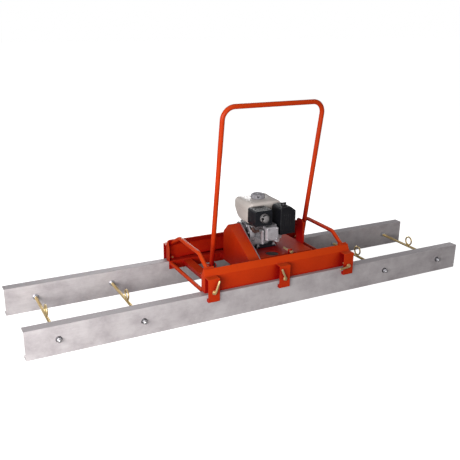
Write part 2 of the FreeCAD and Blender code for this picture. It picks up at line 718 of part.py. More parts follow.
def crankcase():
    """A hollow casting with feet and a side cover; the crankshaft leaves it on both sides."""
    block = span_box(("case_left", "case_right"), ("case_front", "case_back"), ("deck_top", "case_top"))
    feet = span_box(("engine_x-78", "engine_x+66"), ("foot_front", "case_back+8"),
                    ("deck_top", "deck_top+foot_thick"))
    cover = extruded("YZ_Plane", [
        ("case_front", "deck_top+14"), ("case_back-20", "deck_top+14"), ("case_back", "deck_top+34"),
        ("case_back", "case_top-40"), ("case_back-34", "case_top"), ("case_front+30", "case_top"),
        ("case_front", "case_top-34")], "10", at=("case_left-10", 0, 0))
    boss = rod("34", "12", ("case_left-22", "crank_y", "crank_z"), "x")
    hollow = span_box(("case_left", "case_right-case_wall"),
                      ("case_front+case_wall", "case_back-case_wall"),
                      ("deck_top+foot_thick", "case_top-case_wall"))
    shaft_bore = rod("crank_radius+running_gap", "case_right-case_left+24",
                     ("case_left-23", "crank_y", "crank_z"), "x")
    x, y, z = DIPSTICK_AT
    filler_bore = rod("8+running_gap", "case_wall+2", (x, y + "-1", z), "y")
    return node(cut(fuse([block, feet, cover, boss]), [hollow, shaft_bore, filler_bore]), "crankcase")


def oil_dipstick():
    x, y, z = DIPSTICK_AT
    cap = rod("13", "11", (x, y + "-fit_gap-11", z), "y")
    grip = span_box((x + "-3", x + "+3"), (y + "-fit_gap-18", y + "-fit_gap-11"), (z + "-11", z + "+11"))
    plug = rod("8", "8", (x, y + "-fit_gap", z), "y")
    return node(fuse([cap, grip, plug]), "oil_dipstick")


def crankshaft():
    """The shaft from the drive pulley to the flywheel, broken by its crank throw."""
    left, throw_left, throw_right = "pulley_left-4", "engine_x-44", "engine_x"
    drive_end = rod("crank_radius", "(%s)-(%s)" % (throw_left, left), (left, "crank_y", "crank_z"), "x")
    fan_end = rod("crank_radius", "housing_right-6-(%s)" % throw_right, (throw_right, "crank_y", "crank_z"), "x")
    webs = [rod("38", "12", (x, "crank_y", "crank_z"), "x") for x in (throw_left, throw_right + "-12")]
    pin = rod("12", "20", (throw_left + "+12", "crank_y-22", "crank_z"), "x")
    return node(fuse([drive_end, fan_end] + webs + [pin]), "crankshaft")


def cylinder():
    """The finned barrel and head, pointing towards the operator."""
    core = span_box(("engine_x-66", "engine_x+8"), ("-132", "case_front"), ("370", "452"))
    fins = [span_box(("engine_x-78", "engine_x+22"), ("%d" % y, "%d" % (y + 3)), ("362", "muffler_bottom"))
            for y in range(-118, -36, 9)]
    return node(fuse([core] + fins), "cylinder")


def rocker_cover():
    outline = [
        ("engine_x-74", "382"), ("engine_x+4", "376"), ("engine_x+13", "386"), ("engine_x+7", "460"),
        ("engine_x-4", "468"), ("engine_x-66", "468"), ("engine_x-76", "460")]
    return node(extruded("XZ_Plane", outline, "40", at=(0, "-132", 0)), "rocker_cover")


def spark_plug():
    """The plug on the head's drive side with its rubber cap."""
    stem = rod("7", "26", ("engine_x-104", "-112", "436"), "x")
    cap = rod("10", "26", ("engine_x-130", "-112", "436"), "x")
    return node(fuse([stem, cap]), "spark_plug")


OUTLET_AT = (15, "muffler_front", "523")


def muffler():
    """The silencer can, hollow, with its wide outlet pointing at the operator."""
    can = span_box(("muffler_left", "muffler_right"), ("muffler_front", "muffler_back"),
                   ("muffler_bottom", "muffler_top"))
    space = span_box(("muffler_left+2", "muffler_right-2"), ("muffler_front+2", "muffler_back-2"),
                     ("muffler_bottom+2", "muffler_top-2"))
    x, y, z = OUTLET_AT
    outlet = rod("outlet_radius", "38", (x, y + "-36", z), "y")
    bore = rod("outlet_radius-3", "42", (x, y + "-38", z), "y")
    return node(cut(fuse([cut(can, [space]), outlet]), [bore]), "muffler")


def muffler_guard():
    """A sheet guard round the can on four sides and the top, with vent slots on top,
    standing on four posts."""
    gap, low_z = 9, "muffler_bottom+8"
    left, right = "muffler_left-%d" % gap, "muffler_right+%d" % gap
    front, back = "muffler_front-%d" % gap, "muffler_back+%d" % gap
    high = "muffler_top+%d" % gap
    outer = extruded("XZ_Plane", [
        (left, low_z), (right, low_z), (right, high + "-7"), (right + "-7", high),
        (left + "+7", high), (left, high + "-7")], "(%s)-(%s)" % (back, front), at=(0, back, 0))
    space = span_box((left + "+2", right + "-2"), (front + "+2", back + "-2"),
                     (low_z + "-1", "muffler_top+%d" % (gap - 6)))
    slots = [span_box(("muffler_left+%d" % (8 + 19 * column), "muffler_left+%d" % (20 + 19 * column)),
                      ("muffler_front+%d" % (12 + 26 * row), "muffler_front+%d" % (18 + 26 * row)),
                      ("muffler_top+2", "muffler_top+20"))
             for row in range(3) for column in range(5)]
    x, y, z = OUTLET_AT
    outlet_hole = rod("outlet_radius+3", "20", (x, y + "-20", z), "y")
    posts = [rod("4", "4", (x, y, "muffler_top"), "z")
             for x in ("muffler_left+3", "muffler_right-5") for y in ("muffler_front+6", "muffler_back-6")]
    return node(fuse([cut(outer, [space, outlet_hole] + slots)] + posts), "muffler_guard")


CHOKE_AT = ("carb_right+fit_gap", "-102", "388")
FUEL_AT = ("carb_right+fit_gap", "-78", "382")
THROTTLE_AT = ("housing_right-8", "-27", "456")
SWITCH_AT = ("185", "-58", "381")


def carburettor():
    body = span_box(("carb_right-40", "carb_right"), ("-114", "-66"), ("362", "400"))
    bowl = rod("19", "24", ("carb_right-20", "-89", "338"), "z")
    throat = rod("16", "8", ("engine_x+22", "-89", "382"), "x")
    pin_bores = [rod("5+running_gap", "8", ("carb_right-7", y, z), "x")
                 for x, y, z in (CHOKE_AT, FUEL_AT)]
    return node(cut(fuse([body, bowl, throat]), pin_bores), "carburettor")


def hanging_lever(label, pivot, reach):
    """A flat lever that hangs from a pin along X."""
    x, y, z = pivot
    pin = rod("5", "lever_thick+6", (x + "-6", y, z), "x")
    boss = rod("7", "lever_thick", (x, y, z), "x")
    arm = span_box((x, x + "+lever_thick"), (y + "-5", y + "+5"), (z + "-" + reach, z))
    tip = rod("7", "lever_thick", (x, y, "%s-%s" % (z, reach)), "x")
    return node(fuse([pin, boss, arm, tip]), label)


def throttle_lever():
    """A long lever that swings between the tank and the air cleaner, on a pin along Y."""
    x, y, z = THROTTLE_AT
    low_y = y + "-fit_gap-lever_thick"
    pin = rod("5", "lever_thick+7", (x, low_y, z), "y")
    boss = rod("9", "lever_thick", (x, low_y, z), "y")
    arm = span_box((x, x + "+84"), (low_y, y + "-fit_gap"), (z + "-6", z + "+6"))
    tip = rod("9", "lever_thick", (x + "+84", low_y, z), "y")
    return node(fuse([pin, boss, arm, tip]), "throttle_lever")


def engine_switch():
    """A turning stop switch on a small box in front of the blower housing."""
    x, y, z = SWITCH_AT
    low_y = y + "-fit_gap-7"
    pin = rod("4", "12", (x, low_y, z), "y")
    disc = rod("9", "7", (x, low_y, z), "y")
    bar = span_box((x + "-3", x + "+3"), (low_y + "-6", low_y), (z + "-8", z + "+8"))
    return node(fuse([pin, disc, bar]), "engine_switch")


def air_cleaner():
    """The base with its stud, the bevelled cover over it, and the wing nut on top."""
    stud_x, stud_y = "cleaner_left+52", "cleaner_front+58"
    base = span_box(("cleaner_left", "cleaner_right"), ("cleaner_front", "cleaner_back"),
                    ("cleaner_bottom-14", "cleaner_bottom"))
    stud = rod("3", "cleaner_top-cleaner_bottom+8", (stud_x, stud_y, "cleaner_bottom"))
    node(fuse([base, stud]), "air_cleaner_base")
    wall = [("cleaner_left", "cleaner_bottom"), ("cleaner_right", "cleaner_bottom"),
            ("cleaner_right", "cleaner_top-28"), ("cleaner_right-36", "cleaner_top"),
            ("cleaner_left+12", "cleaner_top"), ("cleaner_left", "cleaner_top-12")]
    outer = extruded("XZ_Plane", wall, "cleaner_back-cleaner_front", at=(0, "cleaner_back", 0))
    space = span_box(("cleaner_left+3", "cleaner_right-3"), ("cleaner_front+3", "cleaner_back-3"),
                     ("cleaner_bottom-1", "cleaner_top-32"))
    stud_hole = rod("3+fit_gap", "40", (stud_x, stud_y, "cleaner_top-36"))
    node(cut(outer, [space, stud_hole]), "air_cleaner_cover")
    nut_z = "cleaner_top+fit_gap"
    nut = rod("11", "10", (stud_x, stud_y, nut_z))
    wings = span_box((stud_x + "-20", stud_x + "+20"), (stud_y + "-2", stud_y + "+2"),
                     (nut_z + "+3", nut_z + "+17"))
    stud_bore = rod("3+running_gap", "9", (stud_x, stud_y, "cleaner_top"))
    node(cut(fuse([nut, wings]), [stud_bore]), "air_cleaner_nut")


def fuel_tank():
    """A hollow tank with bevelled edges and a rising rear underside, a filler neck for the
    cap and four short feet."""
    def tank_outline(inset):
        left, right = "tank_left+%s" % inset, "tank_right-%s" % inset
        low, high = "tank_bottom+%s" % inset, "tank_top-%s" % inset
        step = "housing_radius+crank_z+4+%s" % inset
        return [(left + "+9", low), ("case_right-6-%s" % inset, low), ("case_right-2-%s" % inset, step),
                (right + "-30", step), (right + "-5", step + "+28"), (right, step + "+44"),
                (right, high + "-34"), (right + "-16", high + "-12"), (right + "-48", high),
                (left + "+40", high), (left + "+20", high + "-9"), (left + "+6", high + "-28"),
                (left, high + "-56"), (left, low + "+13")]

    def rear_wedge(inset):
        back, low = "tank_back-%s" % inset, "tank_bottom+%s" % inset
        outline = [(back + "-110", low + "-9"), (back + "-84", low), (back + "-54", low + "+11"),
                   (back + "-14", low + "+58"), (back, low + "+86"), (back + "+9", low + "+110"),
                   (back + "+9", low + "-9")]
        return extruded("YZ_Plane", outline, "tank_right-tank_left", at=("tank_left", 0, 0))

    outer = extruded("XZ_Plane", tank_outline("0"), "tank_back-tank_front", at=(0, "tank_back", 0))
    space = extruded("XZ_Plane", tank_outline("tank_wall"), "tank_back-tank_front-tank_wall*2",
                     at=(0, "tank_back-tank_wall", 0))
    outer, space = cut(outer, [rear_wedge("0")]), cut(space, [rear_wedge("tank_wall")])
    feet = [rod("9", "tank_bottom-case_top", (x, y, "case_top"))
            for x in ("engine_x-60", "engine_x+40") for y in (6, 90)]
    neck = rod("neck_radius", "tank_wall+14", ("engine_x", "85", "tank_top-tank_wall"))
    neck_bore = rod("neck_radius-3", "tank_wall+14+2", ("engine_x", "85", "tank_top-tank_wall-1"))
    return node(cut(fuse([cut(outer, [space]), neck] + feet), [neck_bore]), "fuel_tank")


def fuel_cap():
    outline = [("fit_gap", "neck_radius+fit_gap"), ("fit_gap", "cap_radius-2"), ("4", "cap_radius"),
               ("cap_height-8", "cap_radius"), ("cap_height", "cap_radius-10"), ("cap_height", 0),
               ("cap_height-6", 0), ("cap_height-6", "neck_radius+fit_gap")]
    return node(turned(outline, ("engine_x", "85", "tank_top"), "z"), "fuel_cap")


def blower():
    """The housing with its switch box and throttle tab, the flywheel inside it, the
    starter cover outside, and the starter grip below the air cleaner."""
    axis = ("crank_y", "crank_z")
    depth = "housing_right-case_right"
    outer = rod("housing_radius", depth, ("case_right",) + axis, "x")
    space = rod("housing_radius-3", depth + "-3", ("case_right",) + axis, "x")
    window = rod("recoil_radius-10", "10", ("housing_right-5",) + axis, "x")
    x, y, z = SWITCH_AT
    switch_box = span_box((x + "-12", x + "+12"), (y, "-35"), (z + "-13", z + "+13"))
    switch_bore = rod("4+running_gap", "6", (x, y + "-1", z), "y")
    x, y, z = THROTTLE_AT
    tab = span_box((x + "-10", x + "+8"), (y, "-14"), (z + "-14", z + "+14"))
    tab_bore = rod("5+running_gap", "9", (x, y + "-1", z), "y")
    body = cut(fuse([outer, switch_box, tab]), [space, window, switch_bore, tab_bore])
    node(body, "blower_housing")
    wheel = rod("76", "26", ("case_right+8",) + axis, "x")
    node(cut(wheel, [rod("crank_radius", "26", ("case_right+8",) + axis, "x")]), "flywheel")
    drum = rod("recoil_radius", "recoil_right-housing_right", ("housing_right",) + axis, "x")
    hollow = rod("recoil_radius-3", "recoil_right-housing_right-3", ("housing_right",) + axis, "x")
    grip_x, grip_z = "housing_right+14", "crank_z-26"
    rope_hole = rod("5", "30", (grip_x, "crank_y-recoil_radius-6", grip_z), "y")
    node(cut(drum, [hollow, rope_hole]), "recoil_cover")
    grip = rod("7", "44", (grip_x, "crank_y-recoil_radius-14", grip_z + "-22"), "z")
    stem = rod("4.6", "24", (grip_x, "crank_y-recoil_radius-14", grip_z), "y")
    node(fuse([grip, stem]), "recoil_grip")


# ---------------------------------------------------------------- the whole machine

def write_nodes():
    """Check every object and write each sub-part to a file named after it."""
    doc.recompute()
    for thing in doc.Objects:
        if {"Invalid", "Error"} & set(thing.State):
            raise RuntimeError("%s is in error: %s" % (thing.Label, thing.State))
    os.makedirs("parts", exist_ok=True)
    for thing in nodes:
        shape = thing.Shape
        if shape.isNull() or not shape.isValid() or not shape.Solids:
            raise RuntimeError(thing.Label + " has no valid solid")
        shape.exportStep("parts/%s.step" % thing.Label)
        print("%-22s %2d solids %10.0f mm3" % (thing.Label, len(shape.Solids), shape.Volume))
    print(len(nodes), "nodes")


fill_sheet()

beam("front_beam", FRONT_WEB)
beam("rear_beam", REAR_WEB)
for count, rod_place in enumerate(ROD_PLACES, start=1):
    tie_rod(count, rod_place)
tie_rod_nuts()

rail("front_rail", True)
rail("rear_rail", False)
clamp_brackets()
for count, (lever_side, bracket_place) in enumerate(
        [(side, place_x) for side in (-1, 1) for place_x in BRACKET_PLACES], start=1):
    clamp_bolt(count, bracket_place, lever_side, CLAMP_LEVER_ANGLES[count - 1])
end_tubes()
node(crossmember("carriage_x-member_x"), "left_crossmember")
node(crossmember("carriage_x+member_x"), "right_crossmember")
node(group([crossmember("inner_member_left"), crossmember("inner_member_right")]), "inner_crossmembers")
arch_bar("left_arch_bar", "carriage_x-arch_x")
arch_bar("right_arch_bar", "carriage_x+arch_x")

handle_hoop()
handle_brackets()
handle_pivot_bolts()
handle_bushes()

engine_deck()
engine_upright()
belt_guard()
guard_back_plate()
belt_tension_bolt()
pulleys()
drive_belt()
exciter()

crankcase()
oil_dipstick()
crankshaft()
cylinder()
rocker_cover()
spark_plug()
muffler()
muffler_guard()
carburettor()
hanging_lever("choke_lever", CHOKE_AT, "20")
hanging_lever("fuel_lever", FUEL_AT, "14")
throttle_lever()
engine_switch()
air_cleaner()
fuel_tank()
fuel_cap()
blower()

write_nodes()
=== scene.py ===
import json
import math
import random

import bmesh
import bpy
from mathutils import Matrix, Vector


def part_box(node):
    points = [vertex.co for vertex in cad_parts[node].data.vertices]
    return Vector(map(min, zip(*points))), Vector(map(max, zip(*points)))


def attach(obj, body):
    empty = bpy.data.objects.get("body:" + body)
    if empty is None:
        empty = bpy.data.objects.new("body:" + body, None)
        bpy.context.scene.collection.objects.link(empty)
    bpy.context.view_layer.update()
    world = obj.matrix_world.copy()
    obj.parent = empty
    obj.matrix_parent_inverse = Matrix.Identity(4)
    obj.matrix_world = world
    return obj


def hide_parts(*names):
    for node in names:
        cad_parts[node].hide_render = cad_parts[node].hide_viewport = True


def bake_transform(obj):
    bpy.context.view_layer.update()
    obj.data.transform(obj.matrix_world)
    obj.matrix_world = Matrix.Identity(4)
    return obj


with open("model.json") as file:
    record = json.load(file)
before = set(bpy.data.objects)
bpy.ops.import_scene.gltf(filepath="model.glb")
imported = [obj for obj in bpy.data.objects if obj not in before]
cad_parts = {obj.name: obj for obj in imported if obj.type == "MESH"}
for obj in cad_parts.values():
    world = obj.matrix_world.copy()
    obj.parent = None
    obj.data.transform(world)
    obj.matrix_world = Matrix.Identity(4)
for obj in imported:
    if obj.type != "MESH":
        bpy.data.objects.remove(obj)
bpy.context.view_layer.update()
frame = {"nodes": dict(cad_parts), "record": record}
scene = bpy.context.scene
scene.view_settings.view_transform = "Standard"

X, Y, Z = Vector((1, 0, 0)), Vector((0, 1, 0)), Vector((0, 0, 1))
SLOTS = {part["node"]: part["material_slot"] for part in frame["record"]["subparts"]}
BODIES = {node: body for body, nodes in frame["record"]["behaviour"]["bodies"].items()
          for node in nodes}

# ---------------------------------------------------------------- camera, floor and light

CAMERA_AT = Vector((-1.975, -3.4536, 1.7737))
YAW, PITCH, ROLL = 0.485, 0.332, 0.015      # radians: towards +X, down, tilted
LENS_MM = 50.66


def make_camera():
    forward = Vector((math.sin(YAW) * math.cos(PITCH), math.cos(YAW) * math.cos(PITCH),
                      -math.sin(PITCH)))
    level = Vector((math.cos(YAW), -math.sin(YAW), 0))
    above = level.cross(forward)
    right = level * math.cos(ROLL) + above * math.sin(ROLL)
    up = above * math.cos(ROLL) - level * math.sin(ROLL)
    camera = bpy.data.objects.new("camera", bpy.data.cameras.new("camera"))
    camera.data.lens = LENS_MM
    camera.data.sensor_width = 36
    facing = Matrix((right, up, -forward)).transposed().to_4x4()
    camera.matrix_world = Matrix.Translation(CAMERA_AT) @ facing
    scene.collection.objects.link(camera)
    scene.camera = camera


def area_light(name, at, target, size, watts, colour=(1, 1, 1)):
    light = bpy.data.lights.new(name, "AREA")
    light.shape = "RECTANGLE"
    light.size, light.size_y = size
    light.energy = watts
    light.color = colour
    lamp = bpy.data.objects.new(name, light)
    lamp.location = at
    lamp.rotation_euler = (Vector(target) - Vector(at)).to_track_quat("-Z", "Y").to_euler()
    scene.collection.objects.link(lamp)


def mixed_by_camera_ray(tree, seen, unseen, output):
    """Shows one shader to the camera and lights the scene with the other."""
    path = tree.nodes.new("ShaderNodeLightPath")
    mix = tree.nodes.new("ShaderNodeMixShader")
    tree.links.new(path.outputs["Is Camera Ray"], mix.inputs["Fac"])
    tree.links.new(unseen, mix.inputs[1])
    tree.links.new(seen, mix.inputs[2])
    tree.links.new(mix.outputs[0], output)


WORLD_LIGHT = 0.18
FLOOR_SIZE, FLOOR_GLOW = 30, 0.93
FLOOR = bpy.data.materials.new("floor")
FLOOR.use_nodes = True


def make_stage():
    """A pale floor and backdrop, dimmer in reflections and bounces than they look."""
    mesh = bpy.data.meshes.new("floor")
    mesh.from_pydata([(x * FLOOR_SIZE, y * FLOOR_SIZE, 0) for x, y in
                       ((-1, -1), (1, -1), (1, 1), (-1, 1))], [], [(0, 1, 2, 3)])
    floor = bpy.data.objects.new("floor", mesh)
    tree = FLOOR.node_tree
    surface = tree.nodes["Principled BSDF"]
    surface.inputs["Base Color"].default_value = (0.42, 0.42, 0.42, 1)
    surface.inputs["Roughness"].default_value = 0.9
    surface.inputs["Specular IOR Level"].default_value = 0.1
    surface.inputs["Emission Color"].default_value = (1, 1, 1, 1)
    surface.inputs["Emission Strength"].default_value = FLOOR_GLOW
    unlit = tree.nodes.new("ShaderNodeBsdfDiffuse")
    unlit.inputs["Color"].default_value = (0.30, 0.30, 0.30, 1)
    mixed_by_camera_ray(tree, surface.outputs[0], unlit.outputs[0],
                        tree.nodes["Material Output"].inputs["Surface"])
    mesh.materials.append(FLOOR)
    scene.collection.objects.link(floor)
    world = bpy.data.worlds.new("studio")
    world.use_nodes = True
    tree = world.node_tree
    dim = tree.nodes["Background"]
    dim.inputs["Color"].default_value = (1, 0.98, 0.99, 1)
    dim.inputs["Strength"].default_value = WORLD_LIGHT
    white = tree.nodes.new("ShaderNodeBackground")
    white.inputs["Color"].default_value = (1, 1, 1, 1)
    mixed_by_camera_ray(tree, white.outputs[0], dim.outputs[0],
                        tree.nodes["World Output"].inputs["Surface"])
    scene.world = world
    area_light("key", (-3.0, -2.7, 1.2), (-0.7, 0, 0.2), (2.6, 1.6), 160, (1, 0.975, 0.95))
    area_light("front", (0.0, -3.7, 1.0), (0.1, 0, 0.2), (2.0, 1.2), 16, (1, 0.98, 0.98))
    area_light("left", (-2.7, -0.7, 0.8), (-1.1, 0.3, 0.1), (1.0, 0.8), 11)
    area_light("top", (-0.4, 0.0, 3.2), (0, 0, 0.2), (2.2, 1.5), 12)
    area_light("back", (0.6, 3.6, 1.3), (0, 0.2, 0.3), (3.0, 1.4), 60)
    area_light("right", (3.4, 0.6, 1.2), (0, 0, 0.3), (1.6, 1.2), 18)


make_stage()
make_camera()

# ---------------------------------------------------------------- materials

class Shader:
    """A material whose nodes are added by short calls."""

    def __init__(self, name, **values):
        self.material = bpy.data.materials.new(name)
        self.material.use_nodes = True
        self.tree = self.material.node_tree
        self.surface = self.tree.nodes["Principled BSDF"]
        for socket, value in values.items():
            self.surface.inputs[socket.replace("_", " ")].default_value = value
        self.place = self.add("ShaderNodeTexCoord").outputs["Object"]

    def add(self, kind, **values):
        node = self.tree.nodes.new(kind)
        for key, value in values.items():
            if key in node.inputs:
                node.inputs[key].default_value = value
            else:
                setattr(node, key, value)
        return node

    def link(self, source, target):
        self.tree.links.new(source, target)

    def stretched(self, scale):
        mapping = self.add("ShaderNodeMapping")
        mapping.inputs["Scale"].default_value = scale
        self.link(self.place, mapping.inputs["Vector"])
        return mapping.outputs["Vector"]

    def noise(self, scale, detail=4, rough=0.55, where=None):
        node = self.add("ShaderNodeTexNoise", Scale=scale, Detail=detail, Roughness=rough)
        self.link(where or self.place, node.inputs["Vector"])
        return node.outputs["Fac"]

    def ramp(self, source, low, high, first=(0, 0, 0, 1), second=(1, 1, 1, 1)):
        node = self.add("ShaderNodeValToRGB")
        node.color_ramp.elements[0].position = low
        node.color_ramp.elements[1].position = high
        node.color_ramp.elements[0].color = first
        node.color_ramp.elements[1].color = second
        self.link(source, node.inputs["Fac"])
        return node.outputs["Color"]

    def spread(self, source, low, high):
        """The source's 0 to 1 turned into low to high."""
        node = self.add("ShaderNodeMapRange")
        node.inputs["To Min"].default_value = low
        node.inputs["To Max"].default_value = high
        self.link(source, node.inputs["Value"])
        return node.outputs["Result"]

    def times(self, first, second):
        node = self.add("ShaderNodeMath", operation="MULTIPLY")
        self.link(first, node.inputs[0])
        if isinstance(second, (int, float)):
            node.inputs[1].default_value = second
        else:
            self.link(second, node.inputs[1])
        return node.outputs[0]

    def larger(self, first, second):
        node = self.add("ShaderNodeMath", operation="MAXIMUM")
        self.link(first, node.inputs[0])
        self.link(second, node.inputs[1])
        return node.outputs[0]

    def mix(self, share, first, second):
        node = self.add("ShaderNodeMix", data_type="RGBA")
        self.link(share, node.inputs["Factor"])
        for socket, value in ((node.inputs[6], first), (node.inputs[7], second)):
            if isinstance(value, tuple):
                socket.default_value = value
            else:
                self.link(value, socket)
        return node.outputs[2]

    def bump(self, *layers):
        """Layers of (height, distance in metres)."""
        normal = None
        for height, distance in layers:
            node = self.add("ShaderNodeBump", Strength=1.0, Distance=distance)
            self.link(height, node.inputs["Height"])
            if normal:
                self.link(normal, node.inputs["Normal"])
            normal = node.outputs["Normal"]
        self.link(normal, self.surface.inputs["Normal"])

    def edges(self, radius, low=0.05, high=0.35):
        """1 on the object's sharp outer edges, fading to 0 within the radius."""
        rounded = self.add("ShaderNodeBevel", samples=4, Radius=radius)
        facing = self.add("ShaderNodeNewGeometry")
        product = self.add("ShaderNodeVectorMath", operation="DOT_PRODUCT")
        self.link(rounded.outputs["Normal"], product.inputs[0])
        self.link(facing.outputs["Normal"], product.inputs[1])
        inverse = self.add("ShaderNodeMath", operation="SUBTRACT")
        inverse.inputs[0].default_value = 1
        self.link(product.outputs["Value"], inverse.inputs[1])
        return self.ramp(inverse.outputs[0], low, high)

    def painted_shade_mask(self, reach, low, high):
        """An ambient occlusion mask for painted shade: 1 in the open, fading to 0 between neighbouring
        parts.
        """
        node = self.add("ShaderNodeAmbientOcclusion", samples=6, Distance=reach)
        return self.ramp(node.outputs["AO"], low, high)

    def facing_up(self, low=0.6, high=1.0):
        parts = self.add("ShaderNodeSeparateXYZ")
        self.link(self.add("ShaderNodeNewGeometry").outputs["Normal"], parts.inputs[0])
        return self.ramp(parts.outputs["Z"], low, high)

    def set(self, socket, source):
        self.link(source, self.surface.inputs[socket])


def shade(colour, factor):
    return tuple(channel * factor for channel in colour[:3]) + (1,)


def painted(name, colour, under=(0.10, 0.09, 0.085, 1), rough=(0.3, 0.48), wear=0.7, dust=0.25,
            coat=0.15, top=None, gloss=0.35, gap_shade=None):
    """Powder coat or enamel: slight orange peel, rubbed edges, fine scratches, settled dust.
    It may have a painted light tint on faces turned up and painted shade, a darker red, between
    neighbouring parts."""
    s = Shader(name, Coat_Weight=coat, Coat_Roughness=0.15, Specular_IOR_Level=gloss)
    tone = s.mix(s.ramp(s.noise(3.5, 5), 0.35, 0.7), shade(colour, 0.86), shade(colour, 1.06))
    # painted light: faces turned up take the top tint, the more orange colour of lit paint
    if top:
        tone = s.mix(s.facing_up(0.15, 0.75), tone, top)
    # painted shade: ambient occlusion turns the colour to a darker red between neighbouring parts
    if gap_shade:
        tone = s.mix(s.painted_shade_mask(0.40, 0.45, 0.86), gap_shade, tone)
    stain = s.ramp(s.noise(17, 6, 0.7), 0.58, 0.75)
    tone = s.mix(s.times(stain, 0.35), tone, shade(colour, 0.6))
    scratch = s.ramp(s.noise(9, 8, 0.75, s.stretched((1, 9, 9))), 0.655, 0.69)
    chip = s.times(s.edges(0.0025), s.ramp(s.noise(60, 5, 0.7), 0.47, 0.6))
    worn = s.larger(s.times(scratch, 0.35 * wear), s.times(chip, wear))
    tone = s.mix(worn, tone, under)
    settled = s.times(s.facing_up(), s.ramp(s.noise(11, 6, 0.6), 0.4, 0.75))
    tone = s.mix(s.times(settled, dust), tone, (0.55, 0.5, 0.45, 1))
    s.set("Base Color", tone)
    s.set("Roughness", s.spread(s.noise(26, 5), *rough))
    s.bump((s.noise(420, 2), 0.00006), (s.noise(38, 3), 0.0002), (worn, -0.00015))
    return s.material


def bare_metal(name, colour, rough=(0.25, 0.42), grain=(1, 1, 1), grain_scale=60, tint=None,
               depth=0.00005, metal=1.0, soot_and_shade=0.0):
    """Plated, ground or cast metal: a grain, uneven roughness and a second tint in patches.
    Its last argument is how far painted shade, near-black, reaches between neighbouring parts, in
    metres."""
    s = Shader(name, Metallic=metal)
    patches = s.ramp(s.noise(14, 6, 0.65), 0.4, 0.66)
    tone = s.mix(patches, shade(colour, 0.85), tint or shade(colour, 1.1))
    lines = s.noise(grain_scale, 6, 0.7, s.stretched(grain))
    tone = s.mix(s.times(s.ramp(lines, 0.5, 0.75), 0.4), tone, shade(colour, 0.5))
    # painted shade: ambient occlusion turns the colour near-black between neighbouring parts
    if soot_and_shade:
        tone = s.mix(s.painted_shade_mask(soot_and_shade, 0.35, 0.80), (0.035, 0.033, 0.042, 1), tone)
    s.set("Base Color", tone)
    s.set("Roughness", s.spread(lines, *rough))
    s.bump((lines, depth), (s.noise(300, 2), depth / 2))
    return s.material


def moulded(name, colour, rough=(0.4, 0.6), grain=900, depth=0.00008, dust=0.15):
    """Moulded plastic or rubber: a fine grain, rubbed edges, a little dust on top."""
    s = Shader(name, Specular_IOR_Level=0.35)
    tone = s.mix(s.ramp(s.noise(12, 5), 0.35, 0.7), shade(colour, 0.8), shade(colour, 1.15))
    tone = s.mix(s.times(s.edges(0.002), 0.35), tone, shade(colour, 2.2))
    dusty = s.times(s.ramp(s.noise(20, 6, 0.65), 0.5, 0.8), dust)
    tone = s.mix(dusty, tone, (0.5, 0.47, 0.43, 1))
    s.set("Base Color", tone)
    s.set("Roughness", s.spread(s.noise(30, 4), *rough))
    s.bump((s.noise(grain, 2), depth), (s.noise(25, 3), 0.0001))
    return s.material


def mill_aluminium():
    """Extruded aluminium: faint die lines, clouds of oxide, handling marks, small stains and painted
    shade on faces turned up.
    """
    s = Shader("mill_aluminium", Metallic=0.25, Specular_IOR_Level=0.35)
    lines = s.noise(1.0, 6, 0.6, s.stretched((0.35, 420, 420)))
    film = s.noise(7.0, 8, 0.66, s.stretched((0.9, 1.2, 1.2)))
    cloud = s.noise(20, 8, 0.75, s.stretched((0.8, 1.0, 1.0)))
    tone = s.mix(s.ramp(film, 0.36, 0.62), (0.42, 0.385, 0.405, 1), (0.58, 0.55, 0.565, 1))
    tone = s.mix(s.times(s.ramp(cloud, 0.42, 0.66), 0.5), tone, (0.62, 0.59, 0.60, 1))
    tone = s.mix(s.times(s.ramp(lines, 0.45, 0.7), 0.22), tone, (0.34, 0.32, 0.335, 1))
    marks = s.ramp(s.noise(7, 9, 0.8, s.stretched((1, 5, 3))), 0.63, 0.7)
    tone = s.mix(s.times(marks, 0.28), tone, (0.24, 0.225, 0.24, 1))
    stain = s.ramp(s.noise(3.1, 8, 0.75), 0.60, 0.72)
    tone = s.mix(s.times(stain, 0.25), tone, (0.36, 0.32, 0.34, 1))
    # painted shade: faces turned up are darker, as less light falls on them
    tone = s.mix(s.facing_up(0.3, 0.9), tone, (0.36, 0.335, 0.35, 1))
    s.set("Base Color", tone)
    s.set("Roughness", s.spread(film, 0.48, 0.64))
    s.bump((lines, 0.00004), (s.noise(22, 4), 0.00018), (marks, -0.00008))
    return s.material


